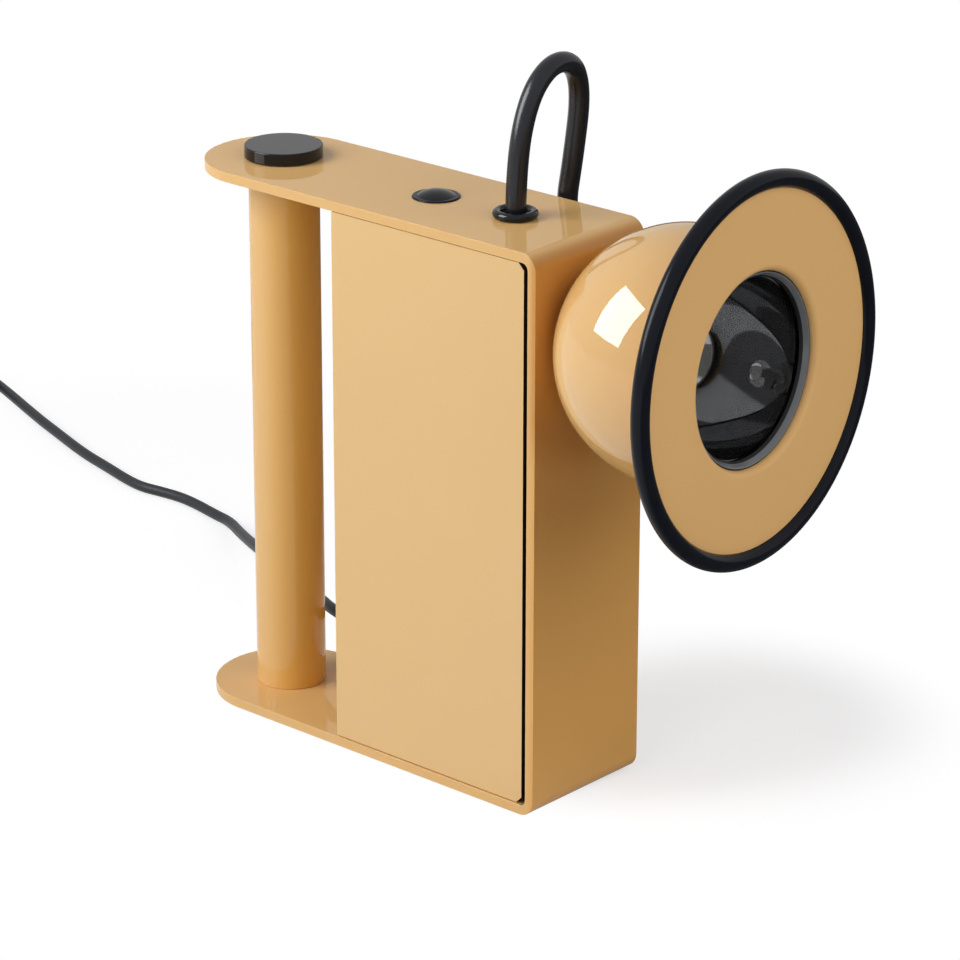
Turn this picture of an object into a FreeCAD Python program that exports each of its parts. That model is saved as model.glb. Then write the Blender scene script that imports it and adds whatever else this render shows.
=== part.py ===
import FreeCAD, Part
import math
import os

import Sketcher

# Tabletop searchlight lamp, millimetres, +Z up, +X towards the beam.
# The origin lies on the table under the middle of the bent plate frame.

vector = FreeCAD.Vector
doc = FreeCAD.newDocument("SearchlightLamp")

# ---------------------------------------------------------------- driving dimensions
sizeTable = {
    # bent plate frame
    "frameLength": 201, "frameWidth": 66, "frameHeight": 240, "plateThickness": 4.2, "bendRadius": 7.2,
    "padThickness": 1, "padInset": 3, "padHole": 7.5,
    # handle
    "handleDiameter": 29.8, "handleWall": 2, "plugDepth": 12, "plugGap": 0.05,
    "handleScrew": 6, "handleScrewHead": 11.5,
    # housing inside the frame
    "housingLength": 103.4, "housingFrontGap": 2.4, "housingInset": 0.6, "housingPlateGap": 0.45,
    "sheet": 1.2, "cornerClip": 2.8, "rearLip": 9, "coverGap": 0.15,
    "coverScrew": 3, "coverScrewHead": 5.6, "coverScrewLength": 7, "coverScrewInset": 6,
    "baseScrew": 4, "baseScrewHead": 7.8, "baseNut": 8, "baseNutHeight": 3.2, "screwGap": 0.1,
    # lamp head
    "ballDiameter": 103.8, "ballWall": 1, "ballDrop": 37.6, "headYaw": 3.2, "headPitch": 0.9,
    "seatRadius": 17.2, "seatGap": 0.1, "seatHole": 18.6, "seatBore": 13,
    "flangeFace": 34.2, "flangeThickness": 1.6, "flangeOuter": 76.4, "lensOpening": 39.2, "flangeRoll": 3,
    "ringBite": 1.2, "ringTube": 3.7, "ringSlotGap": 0.05,
    "bezelWall": 0.8, "bezelFoot": 2.8, "bezelProud": 0.2, "bezelGap": 0.2,
    "glassRecess": 6, "glassThickness": 2, "glassRadius": 38.6, "seatRingWall": 1.2, "seatRingLength": 3.2,
    "bowlSetback": 16.2, "bowlRimInset": 1.5, "bowlWall": 1, "bowlHole": 8,
    "bulbRadius": 5.8, "bulbLength": 27, "bulbPin": 0.5, "bulbPinSpacing": 6.35, "bulbPinLength": 8,
    "holderRadius": 7.8, "holderLength": 13, "holderFlange": 15, "holderFlangeThickness": 2,
    "holderScrewRadius": 11.5, "holderScrew": 2.5, "holderScrewLength": 4.2,
    # magnet seat behind the front plate
    "holderPlateRadius": 25, "holderPlateThickness": 2, "magnetRadius": 12, "magnetLength": 10,
    "magnetStand": 0.5, "cupWall": 4, "cupFloor": 3,
    "magnetScrewCircle": 21, "magnetScrew": 3, "magnetScrewLength": 4.5, "magnetHoleFloor": 1,
    # dimmer
    "knobDiameter": 33, "knobHeight": 5.2, "knobLift": 0.3, "knobEdge": 0.5,
    "knobRecess": 8.5, "knobRecessDepth": 3, "shaftRadius": 3, "shaftGap": 0.05, "shaftLength": 26,
    "bushRadius": 4.5, "potRadius": 10.5, "potLength": 11, "potNutRadius": 7, "potNutHeight": 2,
    "capThickness": 3,
    # push switch
    "switchBack": 82.1, "switchFlange": 10, "switchFlangeHeight": 0.7, "switchBarrel": 9, "switchBore": 8,
    "switchDepth": 22, "switchFloor": 2, "switchNutRadius": 12, "switchNutHeight": 3, "holeGap": 0.2,
    "buttonRadius": 7.9, "buttonCrown": 2.4, "buttonSkirt": 6, "buttonStemRadius": 2.5, "buttonStem": 12,
    "springCoilRadius": 4.2, "springWire": 0.4,
    # lead from the housing to the head
    "grommetBack": 39.5, "grommetCollar": 9.3, "grommetCollarHeight": 3.6, "grommetBarrel": 6.2,
    "grommetDepth": 9, "grommetNutRadius": 9, "grommetNutHeight": 2.5, "leadDiameter": 8.5, "leadGap": 0.1,
    "glandCollar": 8.6, "glandCollarHeight": 6, "glandBarrel": 6.2, "glandDepth": 8, "glandGap": 0.05,
    "glandNutRadius": 8.4, "glandNutHeight": 2.5, "glandLift": 0.3,
    # mains cord
    "cordDiameter": 5, "cordExitHeight": 31.8, "cordExitSide": 15.5, "cordGap": 0.1,
    "reliefLength": 22, "reliefRoot": 4.6, "reliefTip": 3.3, "reliefFlange": 7, "reliefFlangeThickness": 1.6,
    "reliefNeck": 4.2, "reliefDepth": 6, "reliefNutRadius": 6.3, "reliefNutHeight": 2.5,
    "coilOuter": 40, "coilInner": 19.5, "coilHeight": 10, "coilX": -485.5, "coilY": 150.6, "coilEndGap": 0.1,
    "coilEntry": 68, "tieThickness": 0.8, "tieWidth": 8,
    "plugLength": 36, "plugWidth": 26, "plugHeight": 14, "plugEdge": 3, "plugPin": 4, "plugPinLength": 19,
    "plugPinSpacing": 18.6, "plugSleeve": 14, "plugSleeveRoot": 5.5, "plugTurn": 227.8, "tailLength": 26,
    # inside the housing
    "coreLength": 57, "coreHeight": 48, "coreDepth": 28, "coreLeg": 9.5, "coreBack": 50.9,
    "windingOver": 12, "windingGap": 0.3, "strapWidth": 16, "strapThickness": 1.2, "strapFoot": 9,
    "boardLength": 60, "boardHeight": 70, "boardThickness": 1.6, "boardLift": 20, "boardStand": 5,
    "terminalLength": 26, "terminalHeight": 14, "terminalDepth": 17, "terminalLift": 63, "electricsGap": 2,
}


class Size:
    """A length that keeps the sheet formula it was worked out from."""

    def __init__(self, value, formula):
        self.value = value
        self.formula = formula

    def join(self, other, sign, value):
        return Size(value, "(%s %s %s)" % (self.formula, sign, asSize(other).formula))

    def __add__(self, other):
        return self.join(other, "+", self.value + asSize(other).value)

    def __sub__(self, other):
        return self.join(other, "-", self.value - asSize(other).value)

    def __mul__(self, other):
        return self.join(other, "*", self.value * asSize(other).value)

    def __truediv__(self, other):
        return self.join(other, "/", self.value / asSize(other).value)

    def __neg__(self):
        return Size(-self.value, "(0 - %s)" % self.formula)


def asSize(number):
    return number if isinstance(number, Size) else Size(number, repr(number))


def side(hypotenuse, other):
    """The remaining side of a right-angled triangle."""
    squares = hypotenuse * hypotenuse - other * other
    return Size(math.sqrt(squares.value), "sqrt(%s)" % squares.formula)


def hypotenuse(one, other):
    """The longest side of a right-angled triangle."""
    squares = one * one + other * other
    return Size(math.sqrt(squares.value), "sqrt(%s)" % squares.formula)


def alias(name):
    return Size(float(sizeTable[name]), "dims.%s" % name)


def makeSheet():
    sheet = doc.addObject("Spreadsheet::Sheet", "dims")
    for row, (name, number) in enumerate(sizeTable.items(), start=1):
        sheet.set("A%d" % row, name)
        sheet.set("B%d" % row, str(number))
        sheet.setAlias("B%d" % row, name)
    doc.recompute()


makeSheet()
dim = {name: alias(name) for name in sizeTable}
nothing = asSize(0)
two = asSize(2)

# ---------------------------------------------------------------- places worked out from the sizes
frameBottom = dim["padThickness"]
frameTop = frameBottom + dim["frameHeight"]
floorTop = frameBottom + dim["plateThickness"]
ceiling = frameTop - dim["plateThickness"]
frontFace = dim["frameLength"] / two
frontBack = frontFace - dim["plateThickness"]
halfWidth = dim["frameWidth"] / two
handlePlace = halfWidth - frontFace

housingFront = frontBack - dim["housingFrontGap"]
housingRear = housingFront - dim["housingLength"]
housingSide = halfWidth - dim["housingInset"]
housingBottom = floorTop + dim["housingPlateGap"]
housingTop = ceiling - dim["housingPlateGap"]
innerBottom = housingBottom + dim["sheet"]
innerSide = housingSide - dim["sheet"]

ballRadius = dim["ballDiameter"] / two
ballInner = ballRadius - dim["ballWall"]
ballPlace = frontFace + side(ballRadius, dim["seatRadius"])
ballLevel = frameTop - dim["ballDrop"]
flangeBack = dim["flangeFace"] - dim["flangeThickness"]
rollBack = dim["flangeFace"] - dim["flangeRoll"]
glassFront = dim["flangeFace"] - dim["glassRecess"]
glassBack = glassFront - dim["glassThickness"]
bowlCentre = glassBack - dim["bowlSetback"]
bowlRimOuter = dim["lensOpening"] - dim["bowlRimInset"]
bowlOuter = hypotenuse(bowlRimOuter, dim["bowlSetback"])
bowlInner = bowlOuter - dim["bowlWall"]
switchPlace = frontFace - dim["switchBack"]
grommetPlace = frontFace - dim["grommetBack"]
coreCentre = housingFront - dim["coreBack"]
terminalRear = housingRear + dim["sheet"] * two + dim["coverScrewLength"] + dim["electricsGap"]
boardRear = terminalRear + dim["terminalHeight"] + dim["electricsGap"]
terminalLow = innerBottom + dim["terminalLift"]
boardLow = terminalLow + dim["boardLift"]

handleHeadDepth = (dim["handleScrewHead"] - dim["handleScrew"]) / two
baseHeadDepth = (dim["baseScrewHead"] - dim["baseScrew"]) / two
sineSixty = Size(math.sqrt(0.75), "sqrt(0.75)")
magnetCircle = dim["magnetScrewCircle"]
magnetScrewSpots = [
    (nothing, magnetCircle),
    (magnetCircle * sineSixty, -magnetCircle / two),
    (-magnetCircle * sineSixty, -magnetCircle / two),
]
strapReach = dim["coreLength"] / two + dim["strapThickness"] + dim["strapFoot"] / two
baseScrewPlaces = (coreCentre - strapReach, coreCentre + strapReach)

# ---------------------------------------------------------------- building blocks


def bind(thing, prop, size):
    thing.setExpression(prop, asSize(size).formula)


def originPlane(body, role):
    return [item for item in body.Origin.OriginFeatures if item.Role == role][0]


def corner(x, y):
    return {"x": asSize(x), "y": asSize(y), "centre": None}


def arcTo(x, y, centreX, centreY, turnsLeft=True):
    """The next corner, reached along an arc about a centre."""
    return {"x": asSize(x), "y": asSize(y), "centre": (asSize(centreX), asSize(centreY)), "left": turnsLeft}


def arcEdge(start, end):
    centre = vector(end["centre"][0].value, end["centre"][1].value, 0)
    first = math.atan2(start["y"].value - centre.y, start["x"].value - centre.x)
    last = math.atan2(end["y"].value - centre.y, end["x"].value - centre.x)
    radius = math.hypot(start["x"].value - centre.x, start["y"].value - centre.y)
    if not end["left"]:
        first, last = last, first
    return Part.ArcOfCircle(Part.Circle(centre, vector(0, 0, 1), radius), first, last)


def drawOutline(sketch, corners):
    """A closed outline whose corners, and arc centres, are tied to the sheet."""
    count = len(corners)
    for index, start in enumerate(corners):
        end = corners[(index + 1) % count]
        if end["centre"]:
            sketch.addGeometry(arcEdge(start, end))
        else:
            here = vector(start["x"].value, start["y"].value, 0)
            there = vector(end["x"].value, end["y"].value, 0)
            sketch.addGeometry(Part.LineSegment(here, there))

    def ends(index):
        reversedArc = corners[(index + 1) % count]["centre"] and not corners[(index + 1) % count]["left"]
        return (2, 1) if reversedArc else (1, 2)

    for index, start in enumerate(corners):
        previous = (index - 1) % count
        arrival = ends(previous)[1]
        departure = ends(index)[0]
        sketch.addConstraint(Sketcher.Constraint("Coincident", previous, arrival, index, departure))
        for axis, size in (("DistanceX", start["x"]), ("DistanceY", start["y"])):
            fixPoint(sketch, axis, index, departure, size)
        end = corners[(index + 1) % count]
        if end["centre"]:
            level = abs(end["x"].value - start["x"].value) < abs(end["y"].value - start["y"].value)
            axis, size = ("DistanceX", end["centre"][0]) if level else ("DistanceY", end["centre"][1])
            fixPoint(sketch, axis, index, 3, size)


def fixPoint(sketch, axis, item, point, size):
    number = sketch.addConstraint(Sketcher.Constraint(axis, item, point, size.value))
    sketch.setExpression("Constraints[%d]" % number, size.formula)


def drawCircle(sketch, x, y, radius):
    x, y, radius = asSize(x), asSize(y), asSize(radius)
    item = sketch.addGeometry(Part.Circle(vector(x.value, y.value, 0), vector(0, 0, 1), radius.value))
    fixPoint(sketch, "DistanceX", item, 3, x)
    fixPoint(sketch, "DistanceY", item, 3, y)
    number = sketch.addConstraint(Sketcher.Constraint("Radius", item, radius.value))
    sketch.setExpression("Constraints[%d]" % number, radius.formula)


def newBody(name):
    body = doc.addObject("PartDesign::Body", name)
    body.Label = name
    return body


def newSketch(body, name, role="XZ_Plane"):
    sketch = body.newObject("Sketcher::SketchObject", name)
    sketch.AttachmentSupport = [(originPlane(body, role), "")]
    sketch.MapMode = "FlatFace"
    return sketch


def place(thing, x=0, y=0, z=0):
    bind(thing, "Placement.Base.x", x)
    bind(thing, "Placement.Base.y", y)
    bind(thing, "Placement.Base.z", z)
    return thing


def turned(name, corners, axis="V_Axis"):
    """A turned piece: its half section is drawn in X and Z and spun about the sketch's axis."""
    body = newBody(name)
    sketch = newSketch(body, name + "Section")
    drawOutline(sketch, corners)
    spin = body.newObject("PartDesign::Revolution", name + "Spin")
    spin.Profile = sketch
    spin.ReferenceAxis = (sketch, [axis])
    spin.Angle = 360
    return body


def headTurned(name, corners):
    """A piece turned about the beam, which leaves the middle of the ball along the piece's own X."""
    body = turned(name, corners, "H_Axis")
    aim(body)
    return body


def aim(thing):
    spot = "create(<<vector>>; %s; 0; %s)" % (ballPlace.formula, ballLevel.formula)
    turn = "create(<<rotation>>; %s; %s; 0)" % (dim["headYaw"].formula, (-dim["headPitch"]).formula)
    thing.setExpression("Placement", "create(<<placement>>; %s; %s)" % (spot, turn))


def padded(name, role, corners, length, middle=True):
    body = newBody(name)
    sketch = newSketch(body, name + "Outline", role)
    drawOutline(sketch, corners)
    pad = body.newObject("PartDesign::Pad", name + "Pad")
    pad.Profile = sketch
    pad.Midplane = middle
    bind(pad, "Length", length)
    return body


def tube(inner, outer, bottom, top):
    return [corner(inner, bottom), corner(outer, bottom), corner(outer, top), corner(inner, top)]


def block(name, low, high):
    """A box between two corners, each tied to the sheet."""
    box = doc.addObject("Part::Box", name)
    for prop, axis in (("Length", 0), ("Width", 1), ("Height", 2)):
        bind(box, prop, asSize(high[axis]) - asSize(low[axis]))
    return place(box, *low)


def turnTo(axis):
    yaw, pitch = {"Z": (0, 0), "X": (0, 90), "-Z": (0, 180), "Y": (90, 90)}[axis]
    return FreeCAD.Rotation(yaw, pitch, 0)


def rod(name, radius, start, length, axis="Z"):
    """A cylinder from its start along an axis: Z, X, Y, or minus Z as -Z."""
    piece = doc.addObject("Part::Cylinder", name)
    bind(piece, "Radius", radius)
    bind(piece, "Height", length)
    piece.Placement = FreeCAD.Placement(vector(), turnTo(axis))
    return place(piece, *start)


def countersink(name, shank, head, depth, start, length, axis="Z"):
    """A countersunk screw or its hole: a cone under the head, then a plain shank."""
    shankRod = rod(name + "Shank", shank, start, length, axis)
    cone = doc.addObject("Part::Cone", name + "Head")
    bind(cone, "Radius1", head)
    bind(cone, "Radius2", shank)
    bind(cone, "Height", depth)
    cone.Placement = FreeCAD.Placement(vector(), turnTo(axis))
    place(cone, *start)
    return merged(name, [shankRod, cone])


def merged(name, pieces):
    joined = doc.addObject("Part::MultiFuse", name)
    joined.Shapes = pieces
    return joined


def cutBy(name, base, tools):
    """The base less its tools; the result takes the node's name."""
    base.Label = name + "Blank"
    cut = doc.addObject("Part::Cut", name + "Cut")
    cut.Base = base
    cut.Tool = tools[0] if len(tools) == 1 else merged(name + "Tools", tools)
    cut.Label = name
    return cut


def group(name, pieces):
    """Like pieces that share one node and stay separate solids."""
    bunch = doc.addObject("Part::Compound", name)
    bunch.Links = pieces
    return bunch


# ---------------------------------------------------------------- bent plate frame


def makeFramePlate():
    bend = dim["bendRadius"]
    inner = frontBack
    bendX = frontFace - bend
    lowZ = frameBottom + bend
    highZ = frameTop - bend
    rear = -frontFace
    body = padded("framePlateBlank", "XZ_Plane", [
        corner(rear, frameBottom),
        corner(bendX, frameBottom),
        arcTo(frontFace, lowZ, bendX, lowZ),
        corner(frontFace, highZ),
        arcTo(bendX, frameTop, bendX, highZ),
        corner(rear, frameTop),
        corner(rear, ceiling),
        corner(bendX, ceiling),
        arcTo(inner, highZ, bendX, highZ, False),
        corner(inner, lowZ),
        arcTo(bendX, floorTop, bendX, lowZ, False),
        corner(rear, floorTop),
    ], dim["frameWidth"])
    waste = dim["frameWidth"]
    roundEnd = newSketch(body, "framePlateRound", "XY_Plane")
    drawOutline(roundEnd, [
        arcTo(handlePlace, -halfWidth, handlePlace, 0),
        corner(handlePlace, -waste),
        corner(rear - halfWidth, -waste),
        corner(rear - halfWidth, waste),
        corner(handlePlace, waste),
        corner(handlePlace, halfWidth),
        arcTo(rear, 0, handlePlace, 0),
    ])
    pocket = body.newObject("PartDesign::Pocket", "framePlateRoundEnd")
    pocket.Profile = roundEnd
    pocket.Type = "ThroughAll"
    pocket.Midplane = True

    plate = dim["plateThickness"]
    gap = dim["holeGap"]
    screwGap = dim["screwGap"]
    holes = [
        rod("plateBushHole", dim["bushRadius"] + gap, (handlePlace, 0, ceiling), plate),
        rod("plateSwitchHole", dim["switchBarrel"] + gap, (switchPlace, 0, ceiling), plate),
        rod("plateGrommetHole", dim["grommetBarrel"] + gap, (grommetPlace, 0, ceiling), plate),
        rod("plateSeatHole", dim["seatHole"], (frontBack, 0, ballLevel), plate, "X"),
        countersink("plateHandleHole", dim["handleScrew"] / two + screwGap,
                    dim["handleScrewHead"] / two + screwGap, handleHeadDepth,
                    (handlePlace, 0, frameBottom), plate),
    ]
    for index, spot in enumerate(baseScrewPlaces):
        holes.append(countersink("plateBaseHole%d" % index, dim["baseScrew"] / two + screwGap,
                                 dim["baseScrewHead"] / two + screwGap, baseHeadDepth,
                                 (spot, 0, frameBottom), plate))
    magnetDepth = plate - dim["magnetHoleFloor"]
    for index, (across, up) in enumerate(magnetScrewSpots):
        holes.append(rod("plateMagnetHole%d" % index, dim["magnetScrew"] / two,
                         (frontBack, across, ballLevel + up), magnetDepth, "X"))
    return cutBy("frame_plate", body, holes)


def makeBasePad():
    inset = dim["padInset"]
    edge = halfWidth - inset
    front = frontFace - dim["bendRadius"]
    body = padded("basePadBlank", "XY_Plane", [
        corner(front, -edge),
        corner(front, edge),
        corner(handlePlace, edge),
        arcTo(handlePlace - edge, 0, handlePlace, 0),
        arcTo(handlePlace, -edge, handlePlace, 0),
    ], dim["padThickness"], False)
    holes = [rod("padHole%d" % index, dim["padHole"], (spot, 0, 0), dim["padThickness"])
             for index, spot in enumerate((handlePlace,) + baseScrewPlaces)]
    return cutBy("base_pad", body, holes)


# ---------------------------------------------------------------- handle and dimmer


def makeHandle():
    outer = dim["handleDiameter"] / two
    inner = outer - dim["handleWall"]
    fit = inner - dim["plugGap"]
    handle = turned("handle_tube", tube(inner, outer, floorTop, ceiling))
    place(handle, handlePlace)
    screw = dim["handleScrew"] / two
    foot = turned("handle_plug", tube(screw, fit, floorTop, floorTop + dim["plugDepth"]))
    place(foot, handlePlace)
    bolt = countersink("handle_screw", screw - dim["plugGap"], dim["handleScrewHead"] / two, handleHeadDepth,
                       (handlePlace, 0, frameBottom), dim["plateThickness"] + dim["plugDepth"] - screw)
    capBottom = ceiling - dim["capThickness"]
    cap = turned("dimmer_cap", tube(dim["bushRadius"] + dim["plugGap"], fit, capBottom, ceiling))
    place(cap, handlePlace)
    return [handle, foot, bolt, cap]


def makeDimmer():
    shaft = dim["shaftRadius"]
    bore = shaft + dim["shaftGap"]
    bush = dim["bushRadius"]
    bodyTop = ceiling - dim["capThickness"]
    bodyBottom = bodyTop - dim["potLength"]
    bushTop = frameTop + dim["potNutHeight"]
    pot = turned("dimmer_pot", [
        corner(bore, bodyBottom),
        corner(dim["potRadius"], bodyBottom),
        corner(dim["potRadius"], bodyTop),
        corner(bush, bodyTop),
        corner(bush, bushTop),
        corner(bore, bushTop),
    ])
    place(pot, handlePlace)
    nut = turned("dimmer_nut", tube(bush, dim["potNutRadius"], frameTop, bushTop))
    place(nut, handlePlace)
    knobBottom = frameTop + dim["knobLift"]
    knobTop = knobBottom + dim["knobHeight"]
    recessTop = knobBottom + dim["knobRecessDepth"]
    edge = dim["knobEdge"]
    rim = dim["knobDiameter"] / two
    shaftTop = recessTop + (knobTop - recessTop) / two
    knob = turned("dimmer_knob", [
        corner(0, shaftTop),
        corner(shaft, shaftTop),
        corner(shaft, recessTop),
        corner(dim["knobRecess"], recessTop),
        corner(dim["knobRecess"], knobBottom),
        corner(rim - edge, knobBottom),
        arcTo(rim, knobBottom + edge, rim - edge, knobBottom + edge),
        corner(rim, knobTop - edge),
        arcTo(rim - edge, knobTop, rim - edge, knobTop - edge),
        corner(0, knobTop),
    ])
    place(knob, handlePlace)
    spindle = rod("knob_shaft", shaft, (handlePlace, 0, shaftTop), dim["shaftLength"], "-Z")
    return [pot, nut, knob, spindle]


# ---------------------------------------------------------------- push switch


def makeSwitch():
    flange = dim["switchFlange"]
    barrel = dim["switchBarrel"]
    bore = dim["switchBore"]
    flangeTop = frameTop + dim["switchFlangeHeight"]
    soften = dim["switchFlangeHeight"] / two
    bottom = frameTop - dim["switchDepth"]
    floor = bottom + dim["switchFloor"]
    spot = switchPlace
    case = turned("switch_case", [
        corner(0, bottom),
        corner(barrel, bottom),
        corner(barrel, frameTop),
        corner(flange, frameTop),
        corner(flange, flangeTop - soften),
        arcTo(flange - soften, flangeTop, flange - soften, flangeTop - soften),
        corner(bore, flangeTop),
        corner(bore, floor),
        corner(0, floor),
    ])
    place(case, spot)
    nutBottom = ceiling - dim["switchNutHeight"]
    nut = turned("switch_nut", tube(barrel, dim["switchNutRadius"], nutBottom, ceiling))
    place(nut, spot)
    crown = dim["buttonCrown"]
    reach = dim["buttonRadius"]
    domeRadius = (reach * reach + crown * crown) / (crown * two)
    skirtBottom = flangeTop - dim["buttonSkirt"]
    stem = dim["buttonStemRadius"]
    button = turned("push_button", [
        corner(0, skirtBottom - dim["buttonStem"]),
        corner(stem, skirtBottom - dim["buttonStem"]),
        corner(stem, skirtBottom),
        corner(reach, skirtBottom),
        corner(reach, flangeTop),
        arcTo(0, flangeTop + crown, 0, flangeTop + crown - domeRadius),
    ])
    place(button, spot)
    wire = dim["springWire"]
    coil = dim["springCoilRadius"]
    spring = turned("button_spring", tube(coil - wire, coil + wire, floor, skirtBottom))
    place(spring, spot)
    return [case, nut, button, spring]


# ---------------------------------------------------------------- housing


def makeHousing():
    thick = dim["sheet"]
    clip = dim["cornerClip"]
    box = padded("housingBlank", "XZ_Plane", [
        corner(housingRear, housingBottom),
        corner(housingFront - clip, housingBottom),
        corner(housingFront, housingBottom + clip),
        corner(housingFront, housingTop - clip),
        corner(housingFront - clip, housingTop),
        corner(housingRear, housingTop),
    ], housingSide * two)
    innerFront = housingFront - thick
    innerTop = housingTop - thick
    lipBack = housingRear + thick
    hollow = padded("housingHollow", "XZ_Plane", [
        corner(lipBack + thick, innerBottom),
        corner(innerFront - clip, innerBottom),
        corner(innerFront, innerBottom + clip),
        corner(innerFront, innerTop - clip),
        corner(innerFront - clip, innerTop),
        corner(lipBack + thick, innerTop),
    ], innerSide * two)
    recess = block("housingRecess", (housingRear, -innerSide, innerBottom), (lipBack, innerSide, innerTop))
    lip = dim["rearLip"]
    window = block("housingWindow", (lipBack, lip - innerSide, innerBottom + lip),
                   (lipBack + thick, innerSide - lip, innerTop - lip))
    gap = dim["holeGap"]
    tools = [
        hollow, recess, window,
        rod("housingSwitchHole", dim["switchNutRadius"] + gap * two, (switchPlace, 0, innerTop), thick),
        rod("housingGrommetHole", dim["grommetNutRadius"] + gap * two, (grommetPlace, 0, innerTop), thick),
        rod("housingMagnetHole", dim["magnetRadius"] + dim["cupWall"] + gap * two,
            (innerFront, 0, ballLevel), thick, "X"),
    ]
    for index, spot in enumerate(baseScrewPlaces):
        tools.append(rod("housingBaseHole%d" % index, dim["baseScrew"] / two + dim["screwGap"],
                         (spot, 0, housingBottom), thick))
    for index, (across, up) in enumerate(coverScrewSpots()):
        tools.append(rod("housingCoverHole%d" % index, dim["coverScrew"] / two,
                         (lipBack, across, up), thick, "X"))
    shell = cutBy("housing_shell", box, tools)

    edge = innerSide - dim["coverGap"]
    coverLow = innerBottom + dim["coverGap"]
    coverHigh = innerTop - dim["coverGap"]
    plate = block("coverBlank", (housingRear, -edge, coverLow), (lipBack, edge, coverHigh))
    holes = [rod("coverHole%d" % index, dim["coverScrew"] / two + dim["screwGap"],
                 (housingRear, across, up), thick, "X")
             for index, (across, up) in enumerate(coverScrewSpots())]
    holes.append(rod("coverGlandHole", dim["reliefNeck"] + dim["screwGap"],
                     (housingRear, dim["cordExitSide"], dim["cordExitHeight"]), thick, "X"))
    cover = cutBy("rear_cover", plate, holes)
    screws = []
    for index, (across, up) in enumerate(coverScrewSpots()):
        radius = dim["coverScrew"] / two - dim["plugGap"]
        shank = rod("coverShank%d" % index, radius, (housingRear, across, up), dim["coverScrewLength"], "X")
        headRadius = dim["coverScrewHead"] / two
        headHeight = dim["coverScrew"] / two
        head = rod("coverHead%d" % index, headRadius, (housingRear - headHeight, across, up), headHeight, "X")
        screws.append(merged("coverScrew%d" % index, [shank, head]))
    baseScrews = []
    baseNuts = []
    nutBottom = innerBottom + dim["strapThickness"]
    nutHeight = dim["baseNutHeight"]
    for index, spot in enumerate(baseScrewPlaces):
        radius = dim["baseScrew"] / two - dim["plugGap"]
        baseScrews.append(countersink("baseScrew%d" % index, radius, dim["baseScrewHead"] / two,
                                      baseHeadDepth, (spot, 0, frameBottom),
                                      nutBottom + nutHeight - frameBottom))
        nut = doc.addObject("Part::Prism", "baseNutBlank%d" % index)
        nut.Polygon = 6
        bind(nut, "Circumradius", dim["baseNut"] / two)
        bind(nut, "Height", nutHeight)
        place(nut, spot, 0, nutBottom)
        bore = rod("baseNutBore%d" % index, dim["baseScrew"] / two, (spot, 0, nutBottom), nutHeight)
        baseNuts.append(cutBy("baseNut%d" % index, nut, [bore]))
    return [shell, cover, group("cover_screws", screws), group("base_screws", baseScrews),
            group("base_nuts", baseNuts)]


def coverScrewSpots():
    inset = dim["coverScrewInset"]
    across = innerSide - inset
    low = innerBottom + inset
    high = housingTop - dim["sheet"] - inset
    return [(across, low), (-across, low), (across, high), (-across, high)]


# ---------------------------------------------------------------- inside the housing


def makeTransformer():
    """Laminated core with two windows, its winding round the middle leg, and a strap with two feet."""
    half = dim["coreLength"] / two
    depth = dim["coreDepth"] / two
    leg = dim["coreLeg"]
    low = innerBottom + dim["strapThickness"]
    high = low + dim["coreHeight"]
    middle = coreCentre
    core = block("coreBlank", (middle - half, -depth, low), (middle + half, depth, high))
    windows = [
        block("coreWindowRear", (middle - half + leg, -depth, low + leg), (middle - leg, depth, high - leg)),
        block("coreWindowFront", (middle + leg, -depth, low + leg), (middle + half - leg, depth, high - leg)),
    ]
    coreCut = cutBy("transformer_core", core, windows)
    gap = dim["windingGap"]
    over = depth + dim["windingOver"]
    winding = block("windingBlank", (middle - half + leg + gap, -over, low + leg + gap),
                    (middle + half - leg - gap, over, high - leg - gap))
    legHole = block("windingHole", (middle - leg - gap, -depth - gap, low + leg + gap),
                    (middle + leg + gap, depth + gap, high - leg - gap))
    windingCut = cutBy("transformer_winding", winding, [legHole])
    strapHalf = dim["strapWidth"] / two
    thick = dim["strapThickness"]
    foot = dim["strapFoot"]
    strap = padded("strapBlank", "XZ_Plane", [
        corner(-half - thick - foot, innerBottom),
        corner(half + thick + foot, innerBottom),
        corner(half + thick + foot, innerBottom + thick),
        corner(half + thick, innerBottom + thick),
        corner(half + thick, high + thick),
        corner(-half - thick, high + thick),
        corner(-half - thick, innerBottom + thick),
        corner(-half - thick - foot, innerBottom + thick),
    ], strapHalf * two)
    place(strap, middle)
    inside = block("strapInside", (middle - half, -strapHalf, low), (middle + half, strapHalf, high))
    footHoles = [rod("strapHole%d" % index, dim["baseScrew"] / two + dim["screwGap"],
                     (spot, 0, innerBottom), thick)
                 for index, spot in enumerate(baseScrewPlaces)]
    strapCut = cutBy("transformer_strap", strap, [inside] + footHoles)
    return [coreCut, windingCut, strapCut]


def makeElectrics():
    wall = innerSide
    stand = dim["boardStand"]
    boardFace = wall - stand
    board = block("dimmer_board", (boardRear, boardFace - dim["boardThickness"], boardLow),
                  (boardRear + dim["boardLength"], boardFace, boardLow + dim["boardHeight"]))
    posts = []
    for along in (stand, dim["boardLength"] - stand):
        for up in (stand, dim["boardHeight"] - stand):
            posts.append(rod("boardPost%d" % len(posts), stand / two,
                             (boardRear + along, boardFace, boardLow + up), stand, "Y"))
    terminal = block("terminal_block", (terminalRear, wall - dim["terminalDepth"], terminalLow),
                     (terminalRear + dim["terminalHeight"], wall, terminalLow + dim["terminalLength"]))
    return [board, group("board_posts", posts), terminal]


# ---------------------------------------------------------------- magnet seat


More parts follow.
